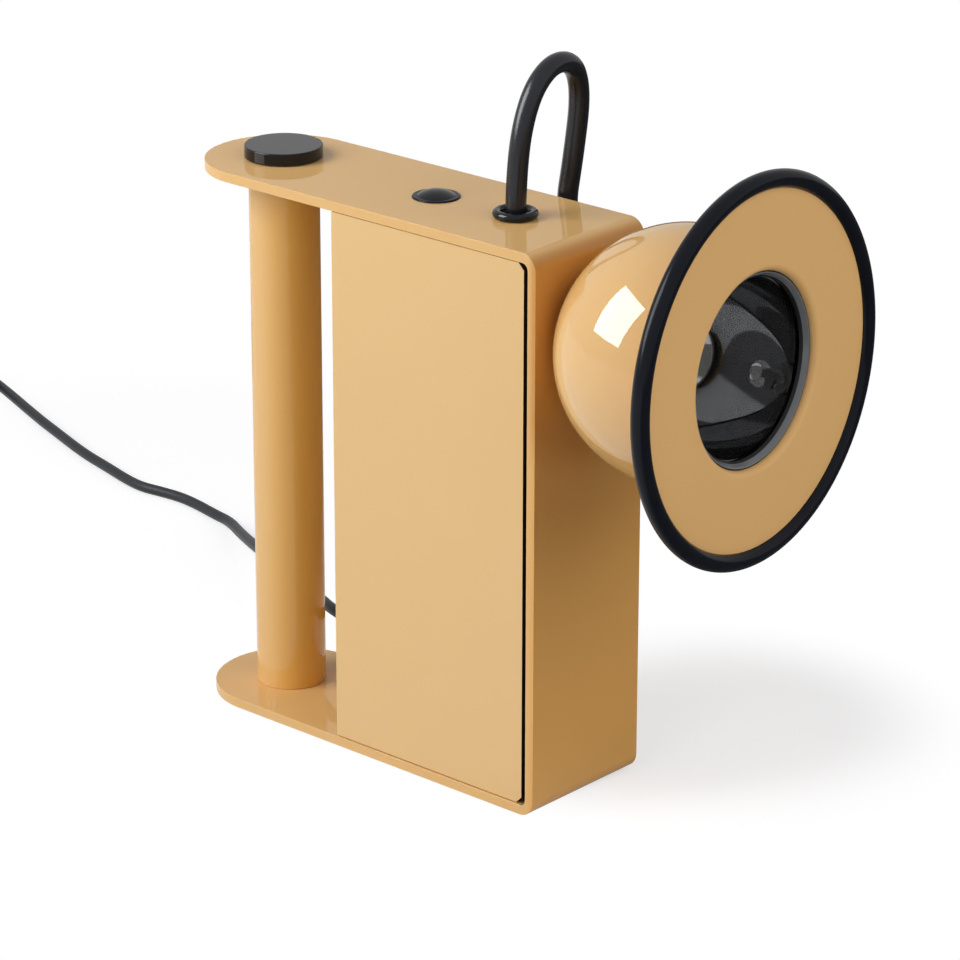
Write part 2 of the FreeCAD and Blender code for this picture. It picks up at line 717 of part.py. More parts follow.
def makeSeat():
    reach = ballRadius + dim["seatGap"]
    faceRadius = side(reach, frontFace - ballPlace)
    boreRadius = dim["seatBore"]
    boreFace = ballPlace - side(reach, boreRadius)
    ring = turned("seat_ring", [
        corner(frontBack, boreRadius),
        corner(boreFace, boreRadius),
        arcTo(frontFace, faceRadius, ballPlace, 0, False),
        corner(frontFace, dim["seatHole"]),
        corner(frontBack, dim["seatHole"]),
    ], "H_Axis")
    place(ring, 0, 0, ballLevel)
    magnetFace = ballPlace - ballRadius - dim["magnetStand"]
    magnetBack = magnetFace - dim["magnetLength"]
    flangeBackX = frontBack - dim["holderPlateThickness"]
    magnetFit = dim["magnetRadius"] + dim["plugGap"]
    outer = dim["magnetRadius"] + dim["cupWall"]
    cupBack = magnetBack - dim["cupFloor"]
    cup = turned("magnetCupBlank", [
        corner(cupBack, 0),
        corner(magnetBack, 0),
        corner(magnetBack, magnetFit),
        corner(frontBack, magnetFit),
        corner(frontBack, dim["holderPlateRadius"]),
        corner(flangeBackX, dim["holderPlateRadius"]),
        corner(flangeBackX, outer),
        corner(cupBack, outer),
    ], "H_Axis")
    place(cup, 0, 0, ballLevel)
    holes = []
    screws = []
    headDepth = dim["magnetScrew"] / two
    for index, (across, up) in enumerate(magnetScrewSpots):
        start = (flangeBackX, across, ballLevel + up)
        holes.append(countersink("cupHole%d" % index, dim["magnetScrew"] / two + dim["screwGap"],
                                 dim["magnetScrew"] + dim["screwGap"], headDepth,
                                 start, dim["holderPlateThickness"], "X"))
        screws.append(countersink("magnetScrew%d" % index, dim["magnetScrew"] / two - dim["plugGap"],
                                  dim["magnetScrew"] - dim["plugGap"], headDepth,
                                  start, dim["magnetScrewLength"], "X"))
    holder = cutBy("magnet_cup", cup, holes)
    magnet = rod("magnet", dim["magnetRadius"], (magnetBack, 0, ballLevel), dim["magnetLength"], "X")
    return [ring, holder, magnet, group("magnet_screws", screws)]


# ---------------------------------------------------------------- lamp head


def makeBall():
    """Steel shell, open at the flange, with a hole on its left pole for the lead's gland."""
    mouth = rollBack
    mouthOuter = side(ballRadius, mouth)
    mouthInner = side(ballInner, mouth)
    shell = headTurned("ballBlank", [
        corner(-ballRadius, 0),
        arcTo(mouth, mouthOuter, 0, 0, False),
        corner(mouth, mouthInner),
        arcTo(-ballInner, 0, 0, 0),
    ])
    hole = rod("ballGlandHole", dim["glandBarrel"] + dim["glandGap"], (0, 0, 0), ballRadius * two, "Y")
    aimAcross(hole)
    return [cutBy("ball_shell", shell, [hole])]


def aimAcross(thing):
    """Lay a piece built along its own Z on the ball's left pole axis."""
    spot = "create(<<vector>>; %s; 0; %s)" % (ballPlace.formula, ballLevel.formula)
    turn = "create(<<rotation>>; %s; 90; 0)" % (dim["headYaw"] + asSize(90)).formula
    thing.setExpression("Placement", "create(<<placement>>; %s; %s)" % (spot, turn))


def makeGland():
    """Swivel gland that the lead enters; the ball tilts about it."""
    bore = dim["leadDiameter"] / two + dim["leadGap"]
    collar = dim["glandCollar"]
    barrel = dim["glandBarrel"]
    tip = bore + dim["ballWall"] * two
    base = ballRadius + dim["glandLift"]
    collarTop = base + dim["glandCollarHeight"]
    inner = base - dim["glandDepth"]
    gland = turned("head_gland", [
        corner(bore, inner),
        corner(barrel, inner),
        corner(barrel, base),
        corner(collar, base),
        corner(collar, base + dim["ballWall"] * two),
        corner(tip, collarTop),
        corner(bore, collarTop),
    ])
    aimAcross(gland)
    nutTop = side(ballInner, dim["glandNutRadius"]) - dim["glandLift"]
    nut = turned("gland_nut", tube(barrel, dim["glandNutRadius"], nutTop - dim["glandNutHeight"], nutTop))
    aimAcross(nut)
    return [gland, nut]


def makeFlange():
    face = dim["flangeFace"]
    roll = dim["flangeRoll"]
    opening = dim["lensOpening"]
    bend = opening + roll
    flange = headTurned("flange_disc", [
        corner(rollBack, opening),
        arcTo(face, bend, rollBack, bend),
        corner(face, dim["flangeOuter"]),
        corner(flangeBack, dim["flangeOuter"]),
        corner(flangeBack, bend),
        arcTo(rollBack, opening + dim["flangeThickness"], rollBack, bend, False),
    ])
    middle = face - dim["flangeThickness"] / two
    slot = dim["flangeThickness"] / two + dim["ringSlotGap"]
    centre = dim["flangeOuter"] - dim["ringBite"]
    tubeRadius = dim["ringTube"]
    mouth = centre - side(tubeRadius, slot)
    slotEnd = dim["flangeOuter"] + dim["ringSlotGap"]
    ring = headTurned("edge_ring", [
        arcTo(middle + slot, mouth, middle, centre, False),
        corner(middle + slot, slotEnd),
        corner(middle - slot, slotEnd),
        corner(middle - slot, mouth),
        arcTo(middle - tubeRadius, centre, middle, centre, False),
        arcTo(middle, centre + tubeRadius, middle, centre, False),
        arcTo(middle + tubeRadius, centre, middle, centre, False),
    ])
    return [flange, ring]


def makeLens():
    outer = dim["lensOpening"] - dim["bezelGap"]
    inner = outer - dim["bezelWall"]
    proud = dim["bezelProud"]
    lip = rollBack + proud
    bezel = headTurned("lens_bezel", [
        corner(glassFront, outer - dim["bezelFoot"]),
        corner(rollBack, inner),
        arcTo(lip, inner + proud, rollBack, inner + proud),
        corner(lip, outer - proud),
        arcTo(rollBack, outer, rollBack, outer - proud),
        corner(glassFront, outer),
    ])
    glass = headTurned("lens_glass", [
        corner(glassBack, 0),
        corner(glassFront, 0),
        corner(glassFront, dim["glassRadius"]),
        corner(glassBack, dim["glassRadius"]),
    ])
    seatBack = glassBack - dim["seatRingLength"]
    seatWall = dim["seatRingWall"]
    bowlFit = side(bowlOuter, seatBack - bowlCentre) + dim["screwGap"]
    bowlRim = bowlRimOuter + dim["bezelGap"]
    shellFit = side(ballInner, seatBack + seatWall) - dim["plugGap"]
    ring = headTurned("lens_seat", [
        corner(seatBack, bowlFit),
        corner(glassBack, bowlRim),
        corner(glassBack, bowlRim + seatWall),
        corner(seatBack + seatWall, bowlFit + seatWall),
        corner(seatBack + seatWall, shellFit),
        corner(seatBack, shellFit),
    ])
    return [bezel, glass, ring]


def makeBowl():
    """Polished black bowl behind the glass, spherical, with a hole for the lamp holder."""
    centre = bowlCentre
    wall = dim["bowlWall"]
    rimRadius = side(bowlInner, dim["bowlSetback"])
    hole = dim["bowlHole"]
    bottomInner = centre - side(bowlInner, hole)
    bottomOuter = centre - side(bowlOuter, hole)
    bowl = headTurned("bowlBlank", [
        arcTo(bottomOuter, hole, centre, 0),
        corner(bottomInner, hole),
        arcTo(glassBack, rimRadius, centre, 0, False),
        corner(glassBack, bowlRimOuter),
    ])
    screwHoles = [headRod("bowlScrewHole%d" % index, dim["holderScrew"] / two + dim["plugGap"],
                          bottomOuter, dim["holderScrewRadius"] * asSize(sign), wall * two + wall)
                  for index, sign in enumerate((1, -1))]
    return [cutBy("reflector_bowl", bowl, screwHoles)]


def makeBulb():
    bowlBack = bowlCentre - side(bowlOuter, dim["bowlHole"])
    holderBack = bowlBack - dim["holderFlangeThickness"]
    holderFront = holderBack + dim["holderLength"]
    holder = headTurned("holderBlank", [
        corner(holderBack, 0),
        corner(holderFront, 0),
        corner(holderFront, dim["holderRadius"]),
        corner(bowlBack, dim["holderRadius"]),
        corner(bowlBack, dim["holderFlange"]),
        corner(holderBack, dim["holderFlange"]),
    ])
    pinDepth = dim["bulbPinLength"]
    pins = []
    sockets = []
    for index, sign in enumerate((1, -1)):
        across = dim["bulbPinSpacing"] / two * asSize(sign)
        pins.append(headRod("bulbPin%d" % index, dim["bulbPin"], holderFront - pinDepth, across, pinDepth))
        sockets.append(headRod("bulbSocket%d" % index, dim["bulbPin"] + dim["plugGap"],
                               holderFront - pinDepth, across, pinDepth))
    screwRadius = dim["holderScrew"] / two
    screws = []
    for index, sign in enumerate((1, -1)):
        across = dim["holderScrewRadius"] * asSize(sign)
        sockets.append(headRod("holderScrewHole%d" % index, screwRadius + dim["plugGap"], holderBack, across,
                               dim["holderFlangeThickness"]))
        shank = headRod("holderShank%d" % index, screwRadius, holderBack, across, dim["holderScrewLength"])
        head = headRod("holderHead%d" % index, screwRadius * two,
                       holderBack - screwRadius, across, screwRadius)
        screws.append(merged("holderScrew%d" % index, [shank, head]))
    lampHolder = cutBy("lamp_holder", holder, sockets)
    radius = dim["bulbRadius"]
    tip = holderFront + dim["bulbLength"]
    shoulder = tip - radius
    glass = headTurned("bulb", [
        corner(holderFront, 0),
        corner(tip, 0),
        arcTo(shoulder, radius, shoulder, 0),
        corner(holderFront, radius),
    ])
    return [lampHolder, glass, group("bulb_pins", pins), group("holder_screws", screws)]


def headRod(name, radius, start, across, length):
    """A cylinder along the beam, set to one side of it in the head's own frame."""
    piece = doc.addObject("Part::Cylinder", name)
    bind(piece, "Radius", radius)
    bind(piece, "Height", length)
    aimed = "create(<<placement>>; create(<<vector>>; %s; 0; %s); create(<<rotation>>; %s; %s; 0))" % (
        ballPlace.formula, ballLevel.formula, dim["headYaw"].formula, (-dim["headPitch"]).formula)
    own = "create(<<placement>>; create(<<vector>>; %s; %s; 0); create(<<rotation>>; 0; 90; 0))" % (
        asSize(start).formula, asSize(across).formula)
    piece.setExpression("Placement", "%s * %s" % (aimed, own))
    return piece


# ---------------------------------------------------------------- lead, cords and plug


def tubeAlong(name, diameter, route):
    """Round cord: straight runs joined by tangent arcs, through corners given in millimetres."""
    corners = [vector(*point) for point in route]
    arcShare = 0.45
    edges = []
    here = corners[0]
    for before, bend, after in zip(corners, corners[1:], corners[2:]):
        back = before - bend
        onward = after - bend
        half = (math.pi - back.getAngle(onward)) / 2
        reach = arcShare * min(back.Length, onward.Length)
        radius = reach / math.tan(half)
        print("%s bend %.0f degrees, radius %.1f" % (name, math.degrees(2 * half), radius))
        back.normalize()
        onward.normalize()
        start = bend + back * reach
        finish = bend + onward * reach
        inward = back + onward
        inward.normalize()
        middle = bend + inward * (radius / math.cos(half) - radius)
        edges.append(Part.LineSegment(here, start).toShape())
        edges.append(Part.Arc(start, middle, finish).toShape())
        here = finish
    edges.append(Part.LineSegment(here, corners[-1]).toShape())
    spine = Part.Wire(edges)
    heading = corners[1] - corners[0]
    section = Part.Wire(Part.Circle(corners[0], heading, diameter / 2).toShape())
    solid = spine.makePipeShell([section], True, True)
    expected = math.pi * diameter * diameter / 4 * spine.Length
    print("%s length %.1f, volume %.0f of %.0f" % (name, spine.Length, solid.Volume, expected))
    piece = doc.addObject("Part::Feature", name)
    piece.Shape = solid
    piece.Placement = FreeCAD.Placement()
    return piece


def makeLead():
    """The grommet is a round rim with a groove inside it, round the lead."""
    bore = dim["leadDiameter"] / two + dim["leadGap"]
    barrel = dim["grommetBarrel"]
    bottom = frameTop - dim["grommetDepth"]
    top = frameTop + dim["grommetCollarHeight"]
    rim = dim["grommetCollarHeight"] / two
    rimCentre = dim["grommetCollar"] - rim
    rimLevel = frameTop + rim
    grommet = turned("top_grommet", [
        corner(bore, bottom),
        corner(barrel, bottom),
        corner(barrel, frameTop),
        corner(rimCentre, frameTop),
        arcTo(dim["grommetCollar"], rimLevel, rimCentre, rimLevel),
        arcTo(rimCentre, top, rimCentre, rimLevel),
        arcTo(rimCentre - rim, rimLevel, rimCentre, rimLevel),
        corner(bore, rimLevel),
    ])
    place(grommet, grommetPlace)
    nutBottom = ceiling - dim["grommetNutHeight"]
    nut = turned("grommet_nut", tube(barrel, dim["grommetNutRadius"], nutBottom, ceiling))
    place(nut, grommetPlace)
    lead = tubeAlong("loop_lead", dim["leadDiameter"].value, loopRoute)
    return [grommet, nut, lead]


def routeFrom(base, offsets):
    """Route corners as steps from a place that follows the sizes."""
    return [tuple(start + step for start, step in zip(base, offset)) for offset in offsets]


plateSpot = (grommetPlace.value, halfWidth.value, frameTop.value)
ballSpot = (ballPlace.value, 0, ballLevel.value)
reliefSpot = (housingRear.value, dim["cordExitSide"].value, dim["cordExitHeight"].value)
coilSpot = (dim["coilX"].value, dim["coilY"].value, dim["cordDiameter"].value / 2)
poleTurn = math.radians(dim["headYaw"].value)


def onPole(distance):
    """A point on the ball's left pole axis, where the gland lies."""
    along = ballRadius.value + distance
    return (ballSpot[0] - along * math.sin(poleTurn), along * math.cos(poleTurn), ballSpot[2])


# From inside the plate's grommet, over the loop, down the far side and round into the ball's gland.
loopRoute = [
    (grommetPlace.value, 0, frameTop.value - 8),
    (grommetPlace.value, 0, frameTop.value + 21),
] + routeFrom(plateSpot, [
    (-0.6, -25, 47),
    (-1.2, -11, 58.5),
    (-2.2, 4, 56.5),
    (-3.4, 10.5, 42),
    (-4.7, 8, 17),
    (-8.5, 6.5, -11),
]) + routeFrom(ballSpot, [
    (-87.5, 46, 1.6),
    (-67.5, 66, -8.4),
    (-49.5, 89, -7.4),
    (-27.5, 98, -4.4),
    (-10, 88, -1),
]) + [
    onPole(27.2),
    onPole(-5.5),
]


def coilMouth():
    """Where the cord meets the coil, in line with the tangent to its outer turn."""
    outer = dim["coilOuter"].value
    width = dim["cordDiameter"].value
    reach = math.sqrt(outer * outer - (outer - width) * (outer - width)) + dim["coilEndGap"].value
    entry = math.radians(dim["coilEntry"].value)
    turnRadius = outer - width / 2
    return (coilSpot[0] + turnRadius * math.cos(entry) + reach * math.sin(entry),
            coilSpot[1] + turnRadius * math.sin(entry) - reach * math.cos(entry), coilSpot[2])


# From inside the strain relief, past the handle's far side and along the table to the coil.
mainsRoute = routeFrom(reliefSpot, [
    (-8.5, 0, 0),
    (-40.5, 0, 0),
    (-78.5, 19.1, -2.8),
    (-141, 54.5, -13.3),
]) + routeFrom(coilSpot, [
    (285.5, -48.1, 4.4),
    (256.5, -32.1, 0),
    (223.5, -27.1, 0),
    (180.5, -24.6, 0),
    (135.5, -12.1, 0),
    (83.5, 6.7, 0),
]) + [coilMouth()]


def makeMains():
    neck = dim["reliefNeck"]
    bore = dim["cordDiameter"] / two + dim["cordGap"]
    flange = -dim["reliefFlangeThickness"]
    tip = flange - dim["reliefLength"]
    relief = turned("mains_relief", [
        corner(tip, bore),
        corner(dim["reliefDepth"], bore),
        corner(dim["reliefDepth"], neck),
        corner(0, neck),
        corner(0, dim["reliefFlange"]),
        corner(flange, dim["reliefFlange"]),
        corner(flange, dim["reliefRoot"]),
        corner(tip, dim["reliefTip"]),
    ], "H_Axis")
    place(relief, housingRear, dim["cordExitSide"], dim["cordExitHeight"])
    nutFront = dim["sheet"] + dim["reliefNutHeight"]
    nut = turned("relief_nut", [
        corner(dim["sheet"], neck),
        corner(nutFront, neck),
        corner(nutFront, dim["reliefNutRadius"]),
        corner(dim["sheet"], dim["reliefNutRadius"]),
    ], "H_Axis")
    place(nut, housingRear, dim["cordExitSide"], dim["cordExitHeight"])
    return [relief, nut, tubeAlong("mains_cord", dim["cordDiameter"].value, mainsRoute)]


def makeCoil():
    """The wound-up length of cord as one ring, a tie round it, and the plug lying beside it."""
    low = dim["tieThickness"]
    high = low + dim["coilHeight"]
    outer = dim["coilOuter"]
    inner = dim["coilInner"]
    coil = turned("cord_coil", tube(inner, outer, low, high))
    place(coil, dim["coilX"], dim["coilY"])
    thick = dim["tieThickness"]
    across = dim["tieWidth"] / two
    band = block("tieBlank", (dim["coilX"] + inner - thick * two, dim["coilY"] - across, 0),
                 (dim["coilX"] + outer + thick, dim["coilY"] + across, high + thick))
    tie = cutBy("cord_tie", band, [coil])

    tail = side(outer, outer - dim["cordDiameter"]) + dim["coilEndGap"]
    plugBack = tail + dim["tailLength"]
    level = dim["plugHeight"] / two
    cord = doc.addObject("Part::Cylinder", "plug_tail")
    bind(cord, "Radius", dim["cordDiameter"] / two)
    bind(cord, "Height", dim["tailLength"] + dim["plugEdge"])
    fromCoil(cord, tail, 0, level)
    half = dim["plugWidth"] / two
    edge = dim["plugEdge"]
    shell = turned("plugSleeve", tube(dim["cordDiameter"] / two, dim["plugSleeveRoot"],
                                      -dim["plugSleeve"], 0))
    fromCoil(shell, plugBack + edge, 0, level)
    blank = padded("plugBlank", "XY_Plane", [
        corner(-level, -half + edge),
        corner(-level + edge, -half),
        corner(level - edge, -half),
        corner(level, -half + edge),
        corner(level, half - edge),
        corner(level - edge, half),
        corner(-level + edge, half),
        corner(-level, half - edge),
    ], dim["plugLength"], False)
    fromCoil(blank, plugBack, 0, level)
    body = merged("plugBody", [shell, blank])
    pins = []
    pinHoles = [doc.addObject("Part::Cylinder", "plugCordHole")]
    bind(pinHoles[0], "Radius", dim["cordDiameter"] / two)
    bind(pinHoles[0], "Height", edge)
    fromCoil(pinHoles[0], plugBack, 0, level)
    for index, sign in enumerate((1, -1)):
        offset = dim["plugPinSpacing"] / two * asSize(sign)
        for kind, bunch in (("plugPin", pins), ("plugPinHole", pinHoles)):
            pin = doc.addObject("Part::Cylinder", "%s%d" % (kind, index))
            bind(pin, "Radius", dim["plugPin"] / two)
            bind(pin, "Height", dim["plugPinLength"] + edge)
            fromCoil(pin, plugBack + dim["plugLength"] - edge, offset, level)
            bunch.append(pin)
    plug = cutBy("mains_plug", body, pinHoles)
    return [coil, tie, cord, plug, group("plug_pins", pins)]


def fromCoil(thing, along, offset, level):
    """Lay a piece built along its own Z on the line where the cord leaves the coil's outer turn."""
    turn = dim["plugTurn"].formula
    outerTurn = (dim["coilOuter"] - dim["cordDiameter"] / two).formula
    coilPlace = "create(<<placement>>; create(<<vector>>; %s; %s; 0); create(<<rotation>>; %s; 0; 0))" % (
        dim["coilX"].formula, dim["coilY"].formula, turn)
    own = "create(<<placement>>; create(<<vector>>; %s; %s - %s; %s); create(<<rotation>>; 0; 90; 0))" % (
        asSize(along).formula, asSize(offset).formula, outerTurn, asSize(level).formula)
    thing.setExpression("Placement", "%s * %s" % (coilPlace, own))


# ---------------------------------------------------------------- build, check and write

nodes = [makeFramePlate(), makeBasePad()]
for build in (makeHandle, makeDimmer, makeSwitch, makeHousing, makeTransformer, makeElectrics, makeSeat,
              makeBall, makeGland, makeFlange, makeLens, makeBowl, makeBulb, makeLead, makeMains, makeCoil):
    nodes.extend(build())
doc.recompute()

for item in doc.Objects:
    if "Invalid" in item.State or "Error" in item.State:
        raise RuntimeError("%s did not compute: %s" % (item.Label, item.State))
for node in nodes:
    if node.Shape.isNull() or not node.Shape.isValid() or not node.Shape.Solids:
        raise RuntimeError("%s has no valid solid" % node.Label)

os.makedirs("parts", exist_ok=True)
triangles = 0
for node in nodes:
    node.Shape.exportStep("parts/%s.step" % node.Label)
    box = node.Shape.BoundBox
    triangles += len(node.Shape.tessellate(0.2)[1])
    print("%s: %d solid(s), volume %.0f, x %.1f %.1f, y %.1f %.1f, z %.1f %.1f" % (
        node.Label, len(node.Shape.Solids), node.Shape.Volume,
        box.XMin, box.XMax, box.YMin, box.YMax, box.ZMin, box.ZMax))
print("%d nodes, about %d triangles" % (len(nodes), triangles))
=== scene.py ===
import bpy
import bmesh
import math
from mathutils import Matrix, Vector


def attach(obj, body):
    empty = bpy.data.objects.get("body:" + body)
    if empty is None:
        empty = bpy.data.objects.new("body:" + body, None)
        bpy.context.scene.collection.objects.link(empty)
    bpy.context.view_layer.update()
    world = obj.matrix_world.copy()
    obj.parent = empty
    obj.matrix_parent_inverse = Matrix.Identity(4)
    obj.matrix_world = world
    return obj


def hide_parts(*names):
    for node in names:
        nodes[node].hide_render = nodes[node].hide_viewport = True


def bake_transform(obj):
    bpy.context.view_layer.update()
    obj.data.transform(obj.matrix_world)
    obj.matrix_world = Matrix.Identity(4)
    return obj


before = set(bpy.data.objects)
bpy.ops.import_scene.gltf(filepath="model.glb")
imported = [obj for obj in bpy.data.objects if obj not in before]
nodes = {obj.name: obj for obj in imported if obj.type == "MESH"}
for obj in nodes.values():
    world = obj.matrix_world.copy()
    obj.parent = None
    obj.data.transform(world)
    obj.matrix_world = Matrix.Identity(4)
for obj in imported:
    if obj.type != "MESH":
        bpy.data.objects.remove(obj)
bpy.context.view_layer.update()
print("frame loaded:", len(nodes), "nodes")

cameraSetup = {
    "lens": 159.392, "sensor": 36.0, "near": 0.05, "far": 30,
    "azimuth": 41.721, "elevation": 20.742, "roll": 0.075,
    "distance": 1.746316, "aim": (0.0405, 0.0, 0.121), "across": 0.001347, "up": 0.002883,
}


def makeCamera(setup):
    azimuth = math.radians(setup["azimuth"])
    elevation = math.radians(setup["elevation"])
    roll = math.radians(setup["roll"])
    back = Vector((math.sin(azimuth) * math.cos(elevation), -math.cos(azimuth) * math.cos(elevation),
                   math.sin(elevation)))
    level = Vector((math.cos(azimuth), math.sin(azimuth), 0))
    lift = back.cross(level)
    right = level * math.cos(roll) + lift * math.sin(roll)
    up = lift * math.cos(roll) - level * math.sin(roll)
    spot = Vector(setup["aim"]) + back * setup["distance"] + right * setup["across"] + up * setup["up"]
    data = bpy.data.cameras.new("camera")
    data.lens = setup["lens"]
    data.sensor_width = setup["sensor"]
    data.clip_start = setup["near"]
    data.clip_end = setup["far"]
    camera = bpy.data.objects.new("camera", data)
    turn = Matrix((right, up, back)).transposed().to_4x4()
    camera.matrix_world = Matrix.Translation(spot) @ turn
    bpy.context.scene.collection.objects.link(camera)
    bpy.context.scene.camera = camera


makeCamera(cameraSetup)
print("camera placed")


def newMaterial(name):
    material = bpy.data.materials.new(name)
    material.use_nodes = True
    tree = material.node_tree
    shader = tree.nodes["Principled BSDF"]
    place = tree.nodes.new("ShaderNodeTexCoord")
    return material, tree, shader, place


def addNoise(tree, place, scale, detail, roughness, stretch=None):
    noise = tree.nodes.new("ShaderNodeTexNoise")
    noise.inputs["Scale"].default_value = scale
    noise.inputs["Detail"].default_value = detail
    noise.inputs["Roughness"].default_value = roughness
    where = place.outputs["Object"]
    if stretch:
        mapping = tree.nodes.new("ShaderNodeMapping")
        mapping.inputs["Scale"].default_value = stretch
        tree.links.new(where, mapping.inputs["Vector"])
        where = mapping.outputs["Vector"]
    tree.links.new(where, noise.inputs["Vector"])
    return noise.outputs["Fac"]


def rampColour(tree, factor, low, high, start=0.3, end=0.7):
    ramp = tree.nodes.new("ShaderNodeValToRGB")
    ramp.color_ramp.elements[0].position = start
    ramp.color_ramp.elements[0].color = (*low, 1)
    ramp.color_ramp.elements[1].position = end
    ramp.color_ramp.elements[1].color = (*high, 1)
    tree.links.new(factor, ramp.inputs["Fac"])
    return ramp.outputs["Color"]


def rangeOf(tree, factor, low, high):
    mapRange = tree.nodes.new("ShaderNodeMapRange")
    mapRange.inputs["To Min"].default_value = low
    mapRange.inputs["To Max"].default_value = high
    tree.links.new(factor, mapRange.inputs["Value"])
    return mapRange.outputs["Result"]


# from low at the value start to high at the value end, with soft ends
def smoothRange(tree, value, start, end, low=0.0, high=1.0):
    fade = tree.nodes.new("ShaderNodeMapRange")
    fade.interpolation_type = "SMOOTHSTEP"
    fade.inputs["From Min"].default_value = start
    fade.inputs["From Max"].default_value = end
    fade.inputs["To Min"].default_value = low
    fade.inputs["To Max"].default_value = high
    tree.links.new(value, fade.inputs["Value"])
    return fade.outputs["Result"]


def distanceFrom(tree, place, centre):
    reach = tree.nodes.new("ShaderNodeVectorMath")
    reach.operation = "DISTANCE"
    reach.inputs[1].default_value = centre
    tree.links.new(place.outputs["Object"], reach.inputs[0])
    return reach.outputs["Value"]


def addBump(tree, shader, height, strength, distance, coat):
    bump = tree.nodes.new("ShaderNodeBump")
    bump.inputs["Strength"].default_value = strength
    bump.inputs["Distance"].default_value = distance
    tree.links.new(height, bump.inputs["Height"])
    tree.links.new(bump.outputs["Normal"], shader.inputs["Normal"])
    if coat:
        tree.links.new(bump.outputs["Normal"], shader.inputs["Coat Normal"])


# the colour sockets of a mix node are its inputs 6 and 7 and its output 2
def mixColour(tree, factor, first, second):
    mix = tree.nodes.new("ShaderNodeMix")
    mix.data_type = "RGBA"
    tree.links.new(factor, mix.inputs[0])
    tree.links.new(first, mix.inputs[6])
    tree.links.new(second, mix.inputs[7])
    return mix.outputs[2]


def plainColour(tree, colour):
    plain = tree.nodes.new("ShaderNodeRGB")
    plain.outputs[0].default_value = (*colour, 1)
    return plain.outputs[0]


# painted shade: a darker colour beyond one place along X, and a darker one still round a seat there
def paintShadeColour(tree, place, colour, settings):
    split = tree.nodes.new("ShaderNodeSeparateXYZ")
    tree.links.new(place.outputs["Object"], split.inputs[0])
    beyond = smoothRange(tree, split.outputs["X"], *settings["paintedShadeRange"])
    shadedColour = plainColour(tree, settings["paintedShadeColour"])
    if settings["seat"]:
        near, far = settings["seatReach"]
        seat = smoothRange(tree, distanceFrom(tree, place, settings["seat"]), far, near)
        shadedColour = mixColour(tree, seat, shadedColour, plainColour(tree, settings["seatColour"]))
    return mixColour(tree, beyond, colour, shadedColour)


# detail and roughness of the three noises in every finish
noiseKinds = {"tint": (3.0, 0.5), "wear": (4.0, 0.6), "grain": (2.0, 0.5)}
plainFinish = {
    "grainStretch": None, "depth": 0.0002, "metallic": 0.0, "ior": 1.5, "specular": 0.5,
    # no painted shade unless a finish sets one
    "coat": 0.0, "coatRough": 0.03, "coatIor": 1.5, "coatFollows": False, "paintedShadeRange": None, "seat": None,
}


def makeFinish(name, given):
    settings = {**plainFinish, **given}
    material, tree, shader, place = newMaterial(name)
    tint = addNoise(tree, place, settings["tintScale"], *noiseKinds["tint"])
    colour = rampColour(tree, tint, settings["low"], settings["high"])
    # painted shade where the finish asks for it
    if settings["paintedShadeRange"]:
        colour = paintShadeColour(tree, place, colour, settings)
    tree.links.new(colour, shader.inputs["Base Color"])
    wear = addNoise(tree, place, settings["wearScale"], *noiseKinds["wear"])
    tree.links.new(rangeOf(tree, wear, *settings["rough"]), shader.inputs["Roughness"])
    grain = addNoise(tree, place, settings["grainScale"], *noiseKinds["grain"], settings["grainStretch"])
    addBump(tree, shader, grain, settings["grain"], settings["depth"], settings["coatFollows"])
    shader.inputs["Metallic"].default_value = settings["metallic"]
    shader.inputs["IOR"].default_value = settings["ior"]
    shader.inputs["Coat Weight"].default_value = settings["coat"]
    shader.inputs["Coat Roughness"].default_value = settings["coatRough"]
    shader.inputs["Coat IOR"].default_value = settings["coatIor"]
    shader.inputs["Specular IOR Level"].default_value = settings["specular"]
    material.diffuse_color = (*settings["high"], 1)
    return material


